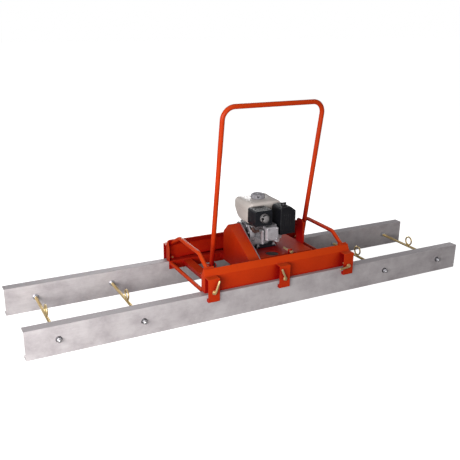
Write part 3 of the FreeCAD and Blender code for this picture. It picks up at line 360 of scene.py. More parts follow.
ORANGE = (0.54, 0.038, 0.003)
MATERIALS = {
    # orange paint: a painted light tint on faces turned up, and painted shade in a darker red between
    # parts
    "orange_paint": painted("orange_paint", ORANGE, top=(0.53, 0.046, 0.003, 1), dust=0.02, coat=0.03,
                            gloss=0.13, gap_shade=(0.27, 0.001, 0.002, 1)),
    "mill_aluminium": mill_aluminium(),
    "gold_zinc": bare_metal("gold_zinc", (0.74, 0.54, 0.22), (0.28, 0.45), grain_scale=90,
                            tint=(0.80, 0.64, 0.36, 1), metal=0.75),
    "zinc_steel": bare_metal("zinc_steel", (0.60, 0.60, 0.62), (0.25, 0.4), grain_scale=80,
                             tint=(0.64, 0.65, 0.70, 1), metal=0.9),
    "black_paint": painted("black_paint", (0.008, 0.009, 0.013), under=(0.10, 0.10, 0.11, 1),
                           rough=(0.32, 0.5), wear=0.5, dust=0.02, coat=0.08, gloss=0.3),
    "cream_paint": painted("cream_paint", (0.60, 0.555, 0.525), under=(0.25, 0.24, 0.22, 1),
                           rough=(0.25, 0.38), wear=0.2, dust=0.05, coat=0.3),
    "dark_steel": bare_metal("dark_steel", (0.12, 0.118, 0.125), (0.3, 0.5), (1, 12, 12), 25),
    # cast aluminium: painted shade, near-black, between neighbouring parts
    "cast_aluminium": bare_metal("cast_aluminium", (0.62, 0.60, 0.64), (0.40, 0.58), grain_scale=240,
                                 depth=0.00015, metal=0.6, soot_and_shade=0.045),
    "cast_iron": bare_metal("cast_iron", (0.16, 0.15, 0.15), (0.5, 0.75), grain_scale=320, depth=0.0002),
    "black_rubber": moulded("black_rubber", (0.020, 0.020, 0.021), (0.6, 0.8), 500),
    "grey_plastic": moulded("grey_plastic", (0.27, 0.265, 0.29), (0.45, 0.6), dust=0.05),
    "black_plastic": moulded("black_plastic", (0.006, 0.0065, 0.009), (0.35, 0.5), dust=0.015),
}

# ---------------------------------------------------------------- building pieces

class Form:
    """A mesh under construction, in metres, where the machine stands."""

    def __init__(self):
        self.bm = bmesh.new()

    def rings(self, rings, loop=False, capped=True):
        """Joins rings of points to each other, and closes the ends or the loop."""
        made = [[self.bm.verts.new(point) for point in ring] for ring in rings]
        pairs = list(zip(made, made[1:])) + ([(made[-1], made[0])] if loop else [])
        count = len(made[0])
        for first, second in pairs:
            for i in range(count):
                j = (i + 1) % count
                self.bm.faces.new((first[i], first[j], second[j], second[i]))
        if capped and not loop:
            self.bm.faces.new(made[0][::-1])
            self.bm.faces.new(made[-1])
        return self

    def turned(self, at, along, profile, sides=32, loop=False, phase=0.0):
        """A body turned from (distance along the axis, radius) pairs."""
        at, along = Vector(at), Vector(along).normalized()
        side = along.orthogonal().normalized()
        other = along.cross(side)
        rings = []
        for distance, radius in profile:
            centre = at + along * distance
            rings.append([centre + (side * math.cos(turn) + other * math.sin(turn)) * radius
                          for turn in (phase + 2 * math.pi * k / sides for k in range(sides))])
        return self.rings(rings, loop)

    def tube(self, points, radius, sides=10, loop=False):
        """A round bar along the points; the radius may be a list."""
        points = [Vector(point) for point in points]
        radii = radius if isinstance(radius, list) else [radius] * len(points)
        count = len(points)
        side, rings = None, []
        for k, (point, size) in enumerate(zip(points, radii)):
            before = points[k - 1] if k or loop else point
            after = points[(k + 1) % count] if k < count - 1 or loop else point
            along = (after - before).normalized()
            side = along.orthogonal() if side is None else side - along * side.dot(along)
            side.normalize()
            other = along.cross(side)
            rings.append([point + (side * math.cos(turn) + other * math.sin(turn)) * size
                          for turn in (2 * math.pi * j / sides for j in range(sides))])
        return self.rings(rings, loop)

    def block(self, low, high):
        """A box between two corners, to be bevelled with the rest of the piece."""
        (x0, y0, z0), (x1, y1, z1) = low, high
        return self.rings([[(x0, y0, z), (x1, y0, z), (x1, y1, z), (x0, y1, z)] for z in (z0, z1)])

    def slab(self, outline, shift):
        """A flat outline pushed along a vector."""
        near = [Vector(point) for point in outline]
        return self.rings([near, [point + Vector(shift) for point in near]])

    def hexagon(self, at, along, across, height):
        """A nut or bolt head with chamfered corners and a washer face."""
        corner = across / 2 / math.cos(math.pi / 6)
        self.turned(at, along, [(0, corner * 0.93), (height * 0.1, corner), (height * 0.86, corner),
                                (height, corner * 0.9)], sides=6)
        return self

    def bolt(self, at, along, across=0.017, height=0.009, washer=0.0):
        """A hexagon head on a washer, with the shank's rounded end standing out of it."""
        at, along = Vector(at), Vector(along).normalized()
        thick = 0.0025
        if washer:
            self.turned(at, along, [(0, washer), (0.0021, washer), (thick, washer - 0.0006)], sides=24)
            at = at + along * thick
        self.hexagon(at, along, across, height)
        return self.turned(at + along * height * 0.6, along, [
            (0, across * 0.36), (height * 0.42, across * 0.36), (height * 0.52, across * 0.28)],
            sides=18)

    def thread(self, at, along, radius, length, pitch=0.00175, sides=20):
        """Ridges round a bar, one each pitch, with plain ends."""
        profile = [(0, radius * 0.9)]
        for k in range(int(length / pitch)):
            profile += [((k + 0.25) * pitch, radius * 0.955), ((k + 0.6) * pitch, radius * 1.035)]
        profile.append((length, radius * 0.9))
        return self.turned(at, along, profile, sides)

    def bead(self, start, end, radius=0.0028, seed=1):
        """A weld bead between two points: ripples with small changes of width."""
        draw, ripple_pitch = random.Random(seed), 0.0048
        start, end = Vector(start), Vector(end)
        length = (end - start).length
        count = max(4, int(length / 0.0016))
        points, radii = [], []
        for k in range(count + 1):
            share = k / count
            points.append(start.lerp(end, share))
            ripple = abs(math.sin(share * length / ripple_pitch * math.pi))
            taper = min(1.0, 0.35 + 0.65 * min(share, 1 - share) * count / 3)
            radii.append(radius * taper * (0.82 + 0.18 * ripple + draw.uniform(-0.05, 0.05)))
        return self.tube(points, radii, sides=8)

    def ring_bead(self, centre, along, ring_radius, radius=0.0026):
        """A weld bead all the way round a tube."""
        ripple_pitch = 0.0048
        along = Vector(along).normalized()
        side = along.orthogonal().normalized()
        other = along.cross(side)
        count = max(24, int(2 * math.pi * ring_radius / 0.002))
        points, radii = [], []
        for k in range(count):
            turn = 2 * math.pi * k / count
            out = side * math.cos(turn) + other * math.sin(turn)
            points.append(Vector(centre) + out * ring_radius)
            ripple = abs(math.sin(turn * ring_radius / ripple_pitch * math.pi))
            radii.append(radius * (0.85 + 0.15 * ripple))
        return self.tube(points, radii, sides=8, loop=True)


def finished(name, bm, body, slot, bevel=0.0, segments=2, smooth=35, stands_for=(), material=None):
    """Turns a mesh into a piece that rides on a body, takes a finish and may stand for CAD nodes."""
    bmesh.ops.recalc_face_normals(bm, faces=bm.faces)
    if bevel:
        sharp = [edge for edge in bm.edges
                 if len(edge.link_faces) == 2 and edge.calc_face_angle(0) > math.radians(28)]
        bmesh.ops.bevel(bm, geom=sharp, offset=bevel, segments=segments, profile=0.5, affect="EDGES",
                        clamp_overlap=False)
    for face in bm.faces:
        face.smooth = True
    mesh = bpy.data.meshes.new(name)
    bm.to_mesh(mesh)
    bm.free()
    mesh.set_sharp_from_angle(angle=math.radians(smooth))
    mesh.materials.append(material or MATERIALS[slot])
    piece = bpy.data.objects.new(name, mesh)
    scene.collection.objects.link(piece)
    if bevel:
        flat = piece.modifiers.new("flat_faces", "WEIGHTED_NORMAL")
        flat.keep_sharp, flat.weight = True, 100
    if body:
        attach(piece, body)
    if stands_for:
        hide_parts(*stands_for)
    return piece


def refined(node, bevel, segments=2, slot=None, material=None):
    """A CAD node's shape with its flat faces whole again and its sharp edges rounded."""
    bm = bmesh.new()
    bm.from_mesh(frame["nodes"][node].data)
    for layers in (bm.loops.layers, bm.verts.layers, bm.edges.layers, bm.faces.layers):
        for kind in ("float_vector", "float", "int", "float_color", "color", "uv"):
            group = getattr(layers, kind, None)
            for layer in list(group.values()) if group else ():
                group.remove(layer)
    bmesh.ops.remove_doubles(bm, verts=bm.verts, dist=2e-6)
    bmesh.ops.dissolve_limit(bm, angle_limit=math.radians(1.0), verts=bm.verts, edges=bm.edges)
    return finished(node + "_finished", bm, BODIES[node], slot or SLOTS[node], bevel, segments,
                    stands_for=(node,), material=material)


def corners_of(node):
    low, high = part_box(node)
    return Vector(low), Vector(high)


def round_x(angle, radius=1.0):
    """A step away from an axis along X, at an angle from +Y towards +Z."""
    return Vector((0, math.cos(angle), math.sin(angle))) * radius


def round_rectangle(low, high, turn, z, arc_steps):
    """A level rectangle with round corners, one after another from the far right one."""
    points = []
    for quarter, (cx, cy) in enumerate(((high.x - turn, high.y - turn), (low.x + turn, high.y - turn),
                                        (low.x + turn, low.y + turn), (high.x - turn, low.y + turn))):
        for k in range(arc_steps + 1):
            angle = math.radians(90 * quarter + 90 / arc_steps * k)
            points.append((cx + math.cos(angle) * turn, cy + math.sin(angle) * turn, z))
    return points

# ---------------------------------------------------------------- beams, tie rods and nuts

BEAM_LOW, BEAM_HIGH = corners_of("front_beam")
REAR_LOW = corners_of("rear_beam")[0]
BEAM_TOP = BEAM_HIGH.z
BEAM_WALL = 0.005
BEAM_EDGE = 0.0011
ROD_Z, ROD_RADIUS = 0.090, 0.009
WASHER, WASHER_THICK = 0.018, 0.003
NUT_ACROSS, NUT_HEIGHT = 0.0255, 0.014
NUT_FACE = 0.0165
ROD_X = [sum(corner.x for corner in corners_of("tie_rod_%d" % number)) / 2 for number in range(1, 5)]

for node in ("front_beam", "rear_beam"):
    refined(node, BEAM_EDGE)


def make_rod_nuts():
    """Washers and nuts on both sides of both webs. Those on the operator's side of the front
    beam are cap nuts over the rods' ends."""
    seats = ((BEAM_LOW.y, -1, "outer", True), (BEAM_LOW.y + BEAM_WALL, 1, "inner", False),
             (REAR_LOW.y, -1, "outer", False), (REAR_LOW.y + BEAM_WALL, 1, "inner", False))
    forms = {"outer": Form(), "inner": Form(), "painted_shade_washers": Form()}
    for x in ROD_X:
        for seat_y, way, side, capped in seats:
            form, at, along = forms[side], Vector((x, seat_y, ROD_Z)), Y * way
            washer = forms["painted_shade_washers"] if capped else form
            washer.turned(at, along, [(0, 0.0176), (0.0006, WASHER), (0.0024, WASHER),
                                      (WASHER_THICK, 0.0176)])
            form.hexagon(at + along * WASHER_THICK, along, NUT_ACROSS, NUT_HEIGHT)
            if capped:
                form.turned(at + along * NUT_FACE, along, [
                    (0, 0.0112), (0.004, 0.0112), (0.008, 0.0104), (0.0108, 0.0086), (0.0128, 0.0054),
                    (0.0135, 0.002)], 24)
    # dark steel on the cap nuts' washer rings is painted shade, a dark ring round each nut
    for side, slot in (("outer", "zinc_steel"), ("inner", "gold_zinc"), ("painted_shade_washers", "dark_steel")):
        finished("rod_nuts_" + side, forms[side].bm, "frame", slot, 0.0004, 1,
                 stands_for=("tie_rod_nuts",))
    threads = Form()
    for x in ROD_X:
        threads.thread((x, BEAM_LOW.y + BEAM_WALL + NUT_FACE, ROD_Z), Y, ROD_RADIUS, 0.034)
        threads.thread((x, REAR_LOW.y - NUT_FACE, ROD_Z), -Y, ROD_RADIUS, 0.034)
        threads.thread((x, REAR_LOW.y + BEAM_WALL + NUT_FACE, ROD_Z), Y, ROD_RADIUS, 0.009)
    finished("rod_threads", threads.bm, "frame", "gold_zinc")


make_rod_nuts()

# ---------------------------------------------------------------- the carriage's steelwork

EDGES = {
    0.0005: ("drive_pulley", "driven_pulley"),
    0.0006: ("cylinder", "muffler_guard", "throttle_lever", "choke_lever", "fuel_lever",
             "handle_pivot_bolts", "belt_tension_bolt"),
    0.0008: ("guard_back_plate", "exciter_shaft", "engine_switch", "air_cleaner_nut"),
    0.0009: ("belt_guard",),
    0.0010: ("exciter_base", "carburettor", "air_cleaner_base"),
    0.0011: ("front_rail", "rear_rail", "engine_upright"),
    0.0012: ("handle_brackets", "engine_deck", "oil_dipstick", "eccentric_weights"),
    0.0013: ("clamp_brackets",),
    0.0014: ("left_crossmember", "right_crossmember", "inner_crossmembers"),
    0.0016: ("bearing_blocks",),
    0.0018: ("crankcase",),
    0.0035: ("rocker_cover",),
    0.0045: ("air_cleaner_cover",),
}
for bevel, nodes in EDGES.items():
    for node in nodes:
        refined(node, bevel)

RAIL_LOW, RAIL_HIGH = corners_of("front_rail")
CARRIAGE_X = (RAIL_LOW.x + RAIL_HIGH.x) / 2
BRACKET_HALF = 0.0375
BRACKET_X = (RAIL_LOW.x + BRACKET_HALF, CARRIAGE_X, RAIL_HIGH.x - BRACKET_HALF)
RAIL_Y, RAIL_INNER_Y, RAIL_BEND_Z = 0.300, 0.250, 0.275
CLAMP_Z = 0.190
STEM, CLAMP_WASHER, LEVER = 0.0068, 0.0136, 0.0067
LEVER_BEND, LEVER_OUT, LEVER_LONG = 0.0090, 0.0240, 0.0840
LEG_X = (CARRIAGE_X - 0.335, CARRIAGE_X + 0.335)
GUSSET_X = (CARRIAGE_X - 0.395, -0.062, 0.345, CARRIAGE_X + 0.395)
GUSSET_HALF, FOOT_HALF = 0.030, 0.029
TUBE_X, TUBE_Z, TUBE_WELD = (CARRIAGE_X - 0.507, CARRIAGE_X + 0.507), 0.158, 0.0130
ARCH_FOOT_Y, ARCH_FOOT_Z = 0.2775, 0.3155
FLANGE_Z = 0.178
DECK_TOP = 0.290


def make_weld_beads():
    """Fillet welds where the hooks, channels, tubes and bars meet the rails and the deck."""
    form, seed = Form(), 0

    def bead(start, end, radius=0.0028):
        nonlocal seed
        seed += 1
        form.bead(start, end, radius, seed)

    for side in (-1, 1):
        for x in BRACKET_X:
            bead((x - BRACKET_HALF, side * RAIL_Y, RAIL_BEND_Z),
                 (x + BRACKET_HALF, side * RAIL_Y, RAIL_BEND_Z))
        for x in GUSSET_X:
            y = side * RAIL_INNER_Y
            bead((x - GUSSET_HALF, y, BEAM_TOP), (x + GUSSET_HALF, y, BEAM_TOP), 0.0026)
            for edge in (x - GUSSET_HALF, x + GUSSET_HALF):
                bead((edge, y, BEAM_TOP - 0.030), (edge, y, BEAM_TOP), 0.0024)
        for x in TUBE_X:
            form.ring_bead((x, side * (RAIL_INNER_Y - 0.0005), TUBE_Z), Y, TUBE_WELD)
        for node in ("left_arch_bar", "right_arch_bar"):
            low, high = corners_of(node)
            bead((low.x, side * ARCH_FOOT_Y, ARCH_FOOT_Z), (high.x, side * ARCH_FOOT_Y, ARCH_FOOT_Z),
                 0.0024)
        for x in (RAIL_LOW.x + 0.005, RAIL_HIGH.x - 0.005):
            bead((x, side * (RAIL_INNER_Y + 0.001), FLANGE_Z), (x, side * (RAIL_Y - 0.006), FLANGE_Z),
                 0.0022)
    for leg in LEG_X:
        for x in (leg - 0.026, leg - 0.021, leg + 0.021, leg + 0.026):
            bead((x, -FOOT_HALF, BEAM_TOP), (x, FOOT_HALF, BEAM_TOP), 0.0022)
    low, high = corners_of("engine_upright")
    bead((low.x, low.y, BEAM_TOP), (low.x, high.y, BEAM_TOP), 0.0026)
    bead((low.x, low.y + 0.004, DECK_TOP + 0.0005), (low.x, high.y - 0.004, DECK_TOP + 0.0005), 0.0026)
    finished("weld_beads", form.bm, "frame", "orange_paint")


make_weld_beads()


def make_clamps():
    """Each clamp screw: threaded stem, washer, hexagon hub and its bent lever with a rounded end."""
    face = corners_of("clamp_brackets")[1].y + 0.0003
    for number in range(1, 7):
        node = "clamp_bolt_%d" % number
        low, high = corners_of(node)
        side = -1 if low.y < 0 else 1
        x, z = BRACKET_X[(number - 1) % 3], CLAMP_Z
        reach = [Vector((v.co.x - x, 0, v.co.z - z)) for v in frame["nodes"][node].data.vertices]
        up = sum((spot for spot in reach if spot.length > 0.07), Vector()).normalized()
        out = Y * side
        stem = Vector((x, low.y if side > 0 else high.y, z))
        hub = Vector((x, side * face, z))
        form = Form()
        form.turned(stem, out, [(0, 0.0055), (0.002, STEM), ((hub - stem).length + 0.002, STEM)], 20)
        form.thread(stem + out * 0.008, out, STEM, (hub - stem).length - 0.010, 0.0018, 18)
        form.turned(hub, out, [(0, 0.0130), (0.0004, CLAMP_WASHER), (0.0018, CLAMP_WASHER),
                               (0.0022, 0.0130)], 28)
        form.hexagon(hub + out * 0.0022, out, 0.0215, 0.0075)
        bend_from = hub + out * 0.0072
        path = [hub + out * 0.004, bend_from]
        for k in range(1, 7):
            turn = math.radians(15 * k)
            path.append(bend_from + out * LEVER_BEND * math.sin(turn)
                        + up * LEVER_BEND * (1 - math.cos(turn)))
        tip = hub + out * LEVER_OUT + up * LEVER_LONG
        start = path[-1]
        path += [start.lerp(tip, share) for share in (0.3, 0.6, 0.93, 0.98, 1.0)]
        form.tube(path, [LEVER] * (len(path) - 2) + [0.0058, 0.0036], 16)
        finished("clamp_screw_%d_lever" % number, form.bm, "clamp_screw_%d" % number, "gold_zinc",
                 smooth=40, stands_for=(node,))


make_clamps()

# ---------------------------------------------------------------- the engine

CASE_LOW, CASE_HIGH = corners_of("crankcase")
TANK_LOW, TANK_HIGH = corners_of("fuel_tank")
CAP_LOW, CAP_HIGH = corners_of("fuel_cap")
GUARD_LOW, GUARD_HIGH = corners_of("muffler_guard")
ROCKER_LOW, ROCKER_HIGH = corners_of("rocker_cover")
CLEANER_LOW, CLEANER_HIGH = corners_of("air_cleaner_cover")
RECOIL_LOW, RECOIL_HIGH = corners_of("recoil_cover")
HOUSING_LOW = corners_of("blower_housing")[0]
FOOT_TOP = DECK_TOP + 0.0128
CRANK = Vector((0, (RECOIL_LOW.y + RECOIL_HIGH.y) / 2, (RECOIL_LOW.z + RECOIL_HIGH.z) / 2))


def rounded(outline, passes=2):
    """A closed outline with its corners cut again and again."""
    for _ in range(passes):
        outline = [spot for a, b in zip(outline, outline[1:] + outline[:1])
                   for spot in (a.lerp(b, 0.25), a.lerp(b, 0.75))]
    return outline


def make_tank():
    """The pressed tank: a rounded box, stepped below, whose underside sweeps up at the back."""
    left, right, low, high, step = TANK_LOW.x, TANK_HIGH.x, 0.452, 0.590, 0.488
    outline = [Vector((x, 0, z)) for x, z in (
        (left + 0.008, low), (0.143, low), (0.147, step), (right - 0.028, step),
        (right - 0.006, step + 0.026), (right, step + 0.044), (right, high - 0.032),
        (right - 0.014, high - 0.010), (right - 0.048, high), (left + 0.042, high),
        (left + 0.016, high - 0.006), (left + 0.002, high - 0.030),
        (left, high - 0.056), (left, low + 0.012))]
    outline = rounded(outline)
    middle = sum(outline, Vector()) / len(outline)
    front, back = TANK_LOW.y, TANK_HIGH.y
    ends = ((0.0, 0.017), (0.0015, 0.0115), (0.005, 0.006), (0.011, 0.002), (0.020, 0.0))
    rear_floor = ((back - 0.090, 0), (back - 0.075, 0.003), (back - 0.060, 0.009), (back - 0.045, 0.020),
                  (back - 0.030, 0.038), (back - 0.014, 0.060), (back, 0.084))

    def lift(y):
        """How far the underside has risen at this distance back."""
        for (y0, low_lift), (y1, high_lift) in zip(rear_floor, rear_floor[1:]):
            if y0 <= y <= y1:
                return low_lift + (high_lift - low_lift) * (y - y0) / (y1 - y0)
        return 0.0

    stations = [(front + y, inset) for y, inset in ends] + [(y, 0.0) for y, _ in rear_floor[:4]]
    stations += [(back - y, inset) for y, inset in ((0.030, 0.0),) + ends[::-1]]
    rings = []
    for y, inset in stations:
        ring = []
        for spot in outline:
            spot = spot + (middle - spot).normalized() * inset
            height = high - (high - spot.z) * (high - low - lift(y)) / (high - low)
            ring.append((spot.x, y, height))
        rings.append(ring)
    form = Form().rings(rings)
    finished("fuel_tank_shell", form.bm, "frame", "cream_paint", smooth=50, stands_for=("fuel_tank",))
    seam = round_rectangle(TANK_LOW, TANK_HIGH, 0.016, high - 0.062, 6)
    form = Form().tube(seam, 0.0019, 8, loop=True)
    for x in (0.032, 0.132):
        for y in (0.006, 0.090):
            form.turned((x, y, CASE_HIGH.z), Z, [(0, 0.009), (0.012, 0.009)], 16)
    form.turned((CAP_LOW.x / 2 + CAP_HIGH.x / 2, 0.085, high - 0.003), Z, [
        (0, 0.040), (0.003, 0.039), (0.005, 0.034), (0.0165, 0.0298), (0.0165, 0.027),
        (-0.004, 0.027)], 40)
    finished("fuel_tank_seam", form.bm, "frame", "cream_paint")


make_tank()


CAP_POCKET = math.radians(246)


def make_cap():
    """The filler cap: a grip edge with lobes, a sunken ring, a ribbed middle, and two black discs as
    painted shade in its vent holes.
    """
    centre, low, high = (CAP_LOW + CAP_HIGH) / 2, CAP_LOW.z, CAP_HIGH.z
    tall, radius = high - low, (CAP_HIGH.x - CAP_LOW.x) / 2
    rings, sides = [], 144
    profile = [(0.0, 0.0302, 0), (0.0, radius - 0.003, 0), (0.003, radius - 0.001, 0),
               (0.006, radius, 0.2), (0.009, radius, 1), (tall - 0.009, radius - 0.001, 1),
               (tall - 0.005, radius - 0.003, 0.7), (tall - 0.002, radius - 0.007, 0.2),
               (tall, radius - 0.011, 0), (tall, radius - 0.014, 0),
               (tall - 0.005, radius - 0.0165, 0), (tall - 0.005, 0.0170, 0), (tall - 0.0005, 0.0145, 0),
               (tall, 0.0120, 0), (tall, 0.001, 0)]
    for height, reach, lobes in profile:
        ring = []
        for k in range(sides):
            turn = 2 * math.pi * k / sides
            notch = max(0.0, math.cos((turn - CAP_POCKET) * 9)) ** 0.5 * 0.0052 * lobes
            ring.append((centre.x + (reach - notch) * math.cos(turn),
                         centre.y + (reach - notch) * math.sin(turn), low + height))
        rings.append(ring)
    form = Form().rings(rings)
    for k in range(3):
        turn = math.radians(60 * k + 20)
        along = Vector((math.cos(turn), math.sin(turn), 0))
        across = Vector((-along.y, along.x, 0)) * 0.0022
        for way in (1, -1):
            near, far = centre + along * 0.013 * way, centre + along * 0.031 * way
            near.z = far.z = high - 0.006
            form.slab([near - across, far - across, far + across, near + across], (0, 0, 0.0055))
    # painted shade: black discs stand for the dark inside the cap's two vent holes
    vent_shade_discs = Form()
    for shift in (-0.15, 0.15):
        out = Vector((math.cos(CAP_POCKET + shift), math.sin(CAP_POCKET + shift), 0))
        vent_shade_discs.turned(Vector((centre.x, centre.y, low + 0.0150)) + out * (radius - 0.0070), out,
                     [(0, 0.0060), (0.0036, 0.0060), (0.0042, 0.0052)], 18)
    finished("fuel_cap_vents", vent_shade_discs.bm, "filler_cap", "black_plastic")
    finished("fuel_cap_lobed", form.bm, "filler_cap", "grey_plastic", smooth=40,
             stands_for=("fuel_cap",))


make_cap()


def make_outlet():
    """The bright spark arrester over the muffler's outlet, with its own outlet at its side."""
    at = Vector((0.015, GUARD_LOW.y + 0.009, 0.523))
    form = Form().turned(at, -Y, [
        (0, 0.0292), (0.004, 0.0292), (0.0048, 0.0282), (0.020, 0.0282), (0.0208, 0.0294),
        (0.0235, 0.0294), (0.0245, 0.0280), (0.030, 0.0250), (0.0335, 0.0190), (0.0352, 0.011),
        (0.0357, 0.002)], 40)
    side, neck = Vector((-0.75, -0.66, 0)).normalized(), at + Vector((-0.0066, -0.018, 0.005))
    form.turned(neck, side, [
        (0.0, 0.0128), (0.0235, 0.0128), (0.0242, 0.0120), (0.0242, 0.0104), (0.012, 0.0102)], 28)
    for turn in (45, 165, 285):
        angle = math.radians(turn)
        out = Vector((math.cos(angle), 0, math.sin(angle)))
        form.bolt(at - Y * 0.0245 + out * 0.0205, -Y, 0.007, 0.0035)
    finished("muffler_outlet", form.bm, "frame", "zinc_steel", smooth=40, material=HOT_STEEL)
    # a near-black disc across the outlet's mouth: exhaust grime, and painted shade for the dark inside
    # the bore
    form = Form().turned(neck + side * 0.0232, side, [(0, 0.0106), (0.0007, 0.0106), (0.0009, 0.001)],
                         24)
    finished("muffler_outlet_soot", form.bm, "frame", "dark_steel", material=BORE_SHADE_AND_SOOT)
    form = Form()
    for x in (GUARD_LOW.x + 0.010, GUARD_HIGH.x - 0.010):
        for z in (GUARD_LOW.z + 0.010, GUARD_HIGH.z - 0.018):
            form.bolt((x, GUARD_LOW.y, z), -Y, 0.010, 0.005, 0.008)
    for y in (GUARD_LOW.y + 0.020, GUARD_HIGH.y - 0.020):
        form.bolt((GUARD_LOW.x, y, GUARD_LOW.z + 0.010), -X, 0.010, 0.005, 0.008)
    finished("muffler_guard_bolts", form.bm, "frame", "black_paint", 0.0003, 1)
    form = Form()
    for k in range(6):
        z = GUARD_LOW.z + 0.026 + k * 0.010
        spots = (GUARD_LOW.y + 0.018, GUARD_LOW.y + 0.026, GUARD_HIGH.y - 0.026, GUARD_HIGH.y - 0.018)
        form.tube([(GUARD_LOW.x, y, z) for y in spots], [0.0008, 0.0022, 0.0022, 0.0008], 8)
    finished("muffler_guard_louvres", form.bm, "frame", "black_paint")


# near-black for the outlet's mouth: partly exhaust grime, partly painted shade of the bore
BORE_SHADE_AND_SOOT = moulded("soot_and_shade", (0.004, 0.004, 0.004), (0.8, 0.95), dust=0.0)
HOT_STEEL = bare_metal("hot_steel", (0.40, 0.39, 0.40), (0.45, 0.62), grain_scale=120,
                       tint=(0.47, 0.45, 0.46, 1), metal=0.7)
make_outlet()


def make_base():
    """The engine's black cast foot with rounded corners and a rib along each side."""
    low, high = Vector((0.0132, -0.0592, DECK_TOP + 0.0004)), Vector((0.1588, 0.1312, FOOT_TOP))
    form = Form().slab(round_rectangle(low, high, 0.010, low.z, 5), (0, 0, high.z - low.z))
    for y in (low.y + 0.004, low.y + 0.016):
        form.block((low.x + 0.030, y, high.z - 0.002), (high.x - 0.030, y + 0.004, high.z + 0.006))
    for x in (low.x + 0.006, high.x - 0.010):
        form.block((x, low.y + 0.028, high.z - 0.002), (x + 0.004, -0.031, high.z + 0.010))
    finished("engine_foot", form.bm, "frame", "black_paint", 0.0015, 2)


make_base()


def make_guard_seal():
    """Two rubber strips with a bright bead between them, along the sloping edge of the guard's
    back plate."""
    x, high, low = GUARD_PLATE_X, Vector((0, 0.040, 0.419)), Vector((0, -0.196, 0.286))
    for name, shift, sink, radius, slot in (("guard_seal", 0.0042, 0.006, 0.0040, "black_rubber"),
                                            ("guard_bead", 0.0100, 0.010, 0.0022, "zinc_steel"),
                                            ("guard_liner", 0.0140, 0.018, 0.0036, "black_rubber")):
        drop, steps = Vector((x + shift, 0, -sink)), 12
        points = [high.lerp(low, k / steps) + drop for k in range(steps + 1)]
        finished(name, Form().tube(points, radius, 10).bm, "frame", slot)


GUARD_PLATE_X = corners_of("guard_back_plate")[1].x
make_guard_seal()


def make_castings():
    """Bolts and ribs on the crankcase, the head, the rocker cover and the carburettor."""
    bolts, ribs = Form(), Form()
    cover_x = -0.024
    for y, z in ((-0.021, 0.312), (0.030, 0.312), (0.090, 0.312), (0.112, 0.345), (0.112, 0.395),
                 (0.078, 0.433), (0.012, 0.433), (-0.021, 0.398), (-0.021, 0.352)):
        bolts.bolt((cover_x, y, z), -X, 0.011, 0.007, 0.0085)
    for turn in range(0, 360, 30):
        angle = math.radians(turn + 15)
        middle = Vector((cover_x + 0.001, CRANK.y, CRANK.z))
        near = middle + round_x(angle, 0.030)
        far = middle + round_x(angle, min(0.052, 0.040 + 0.012 * abs(math.cos(angle))))
        if far.z < CASE_HIGH.z - 0.004:
            ribs.tube([near, near.lerp(far, 0.5), far], [0.0032, 0.0027, 0.0012], 8)
    for x in (-0.006, 0.010, 0.126, 0.142):
        ribs.block((x - 0.002, CASE_LOW.y + 0.026, DECK_TOP + 0.012), (x + 0.002, -0.0285, 0.352))
    for z in (0.340, 0.362):
        ribs.block((-0.012, -0.0345, z - 0.002), (0.012, -0.0285, z + 0.002))
    for x, y in ((0.028, -0.046), (0.146, -0.046), (0.028, 0.122), (0.146, 0.122)):
        bolts.bolt((x, y, FOOT_TOP), Z, 0.014, 0.009, 0.0115)
    rocker_y = ROCKER_LOW.y
    for x in (ROCKER_LOW.x + 0.012, ROCKER_HIGH.x - 0.014):
        for z in (ROCKER_LOW.z + 0.012, ROCKER_HIGH.z - 0.012):
            ribs.turned((x, rocker_y + 0.003, z), -Y, [(0, 0.0085), (0.005, 0.0080), (0.006, 0.0065)],
                        20)
            bolts.bolt((x, rocker_y - 0.003, z), -Y, 0.009, 0.006)
    for k in range(3):
        z = ROCKER_LOW.z + 0.026 + k * 0.013
        spots = (ROCKER_LOW.x + 0.016, ROCKER_LOW.x + 0.022,
                 ROCKER_HIGH.x - 0.026, ROCKER_HIGH.x - 0.020)
        ribs.tube([(x, rocker_y + 0.0005, z) for x in spots], [0.0006, 0.0021, 0.0021, 0.0006], 8)
    low, high, head_y = ROCKER_LOW, ROCKER_HIGH, -0.1285
    ribs.block((low.x - 0.004, head_y - 0.006, low.z + 0.002), (high.x + 0.004, head_y, high.z + 0.001))
    ribs.block((low.x - 0.014, head_y - 0.0145, 0.352), (low.x - 0.004, head_y, 0.448))
    for z in (0.362, 0.438):
        ribs.turned((low.x - 0.009, head_y - 0.014, z), -Y,
                    [(0, 0.0062), (0.004, 0.0060), (0.005, 0.0045)], 18)
    carb_low, carb_high = corners_of("carburettor")
    for x in (carb_low.x + 0.012, carb_high.x - 0.010):
        bolts.bolt((x, carb_low.y, carb_high.z - 0.010), -Y, 0.008, 0.005)
    bolts.bolt((0.142, -0.089, carb_low.z), -Z, 0.010, 0.006)
    bolts.turned((0.130, carb_low.y, 0.372), -Y, [(0, 0.004), (0.008, 0.004), (0.0085, 0.003)], 14)
    finished("casting_ribs", ribs.bm, "frame", "cast_aluminium", 0.0007, 2)
    finished("engine_bolts", bolts.bm, "frame", "zinc_steel", 0.0003, 1)


make_castings()


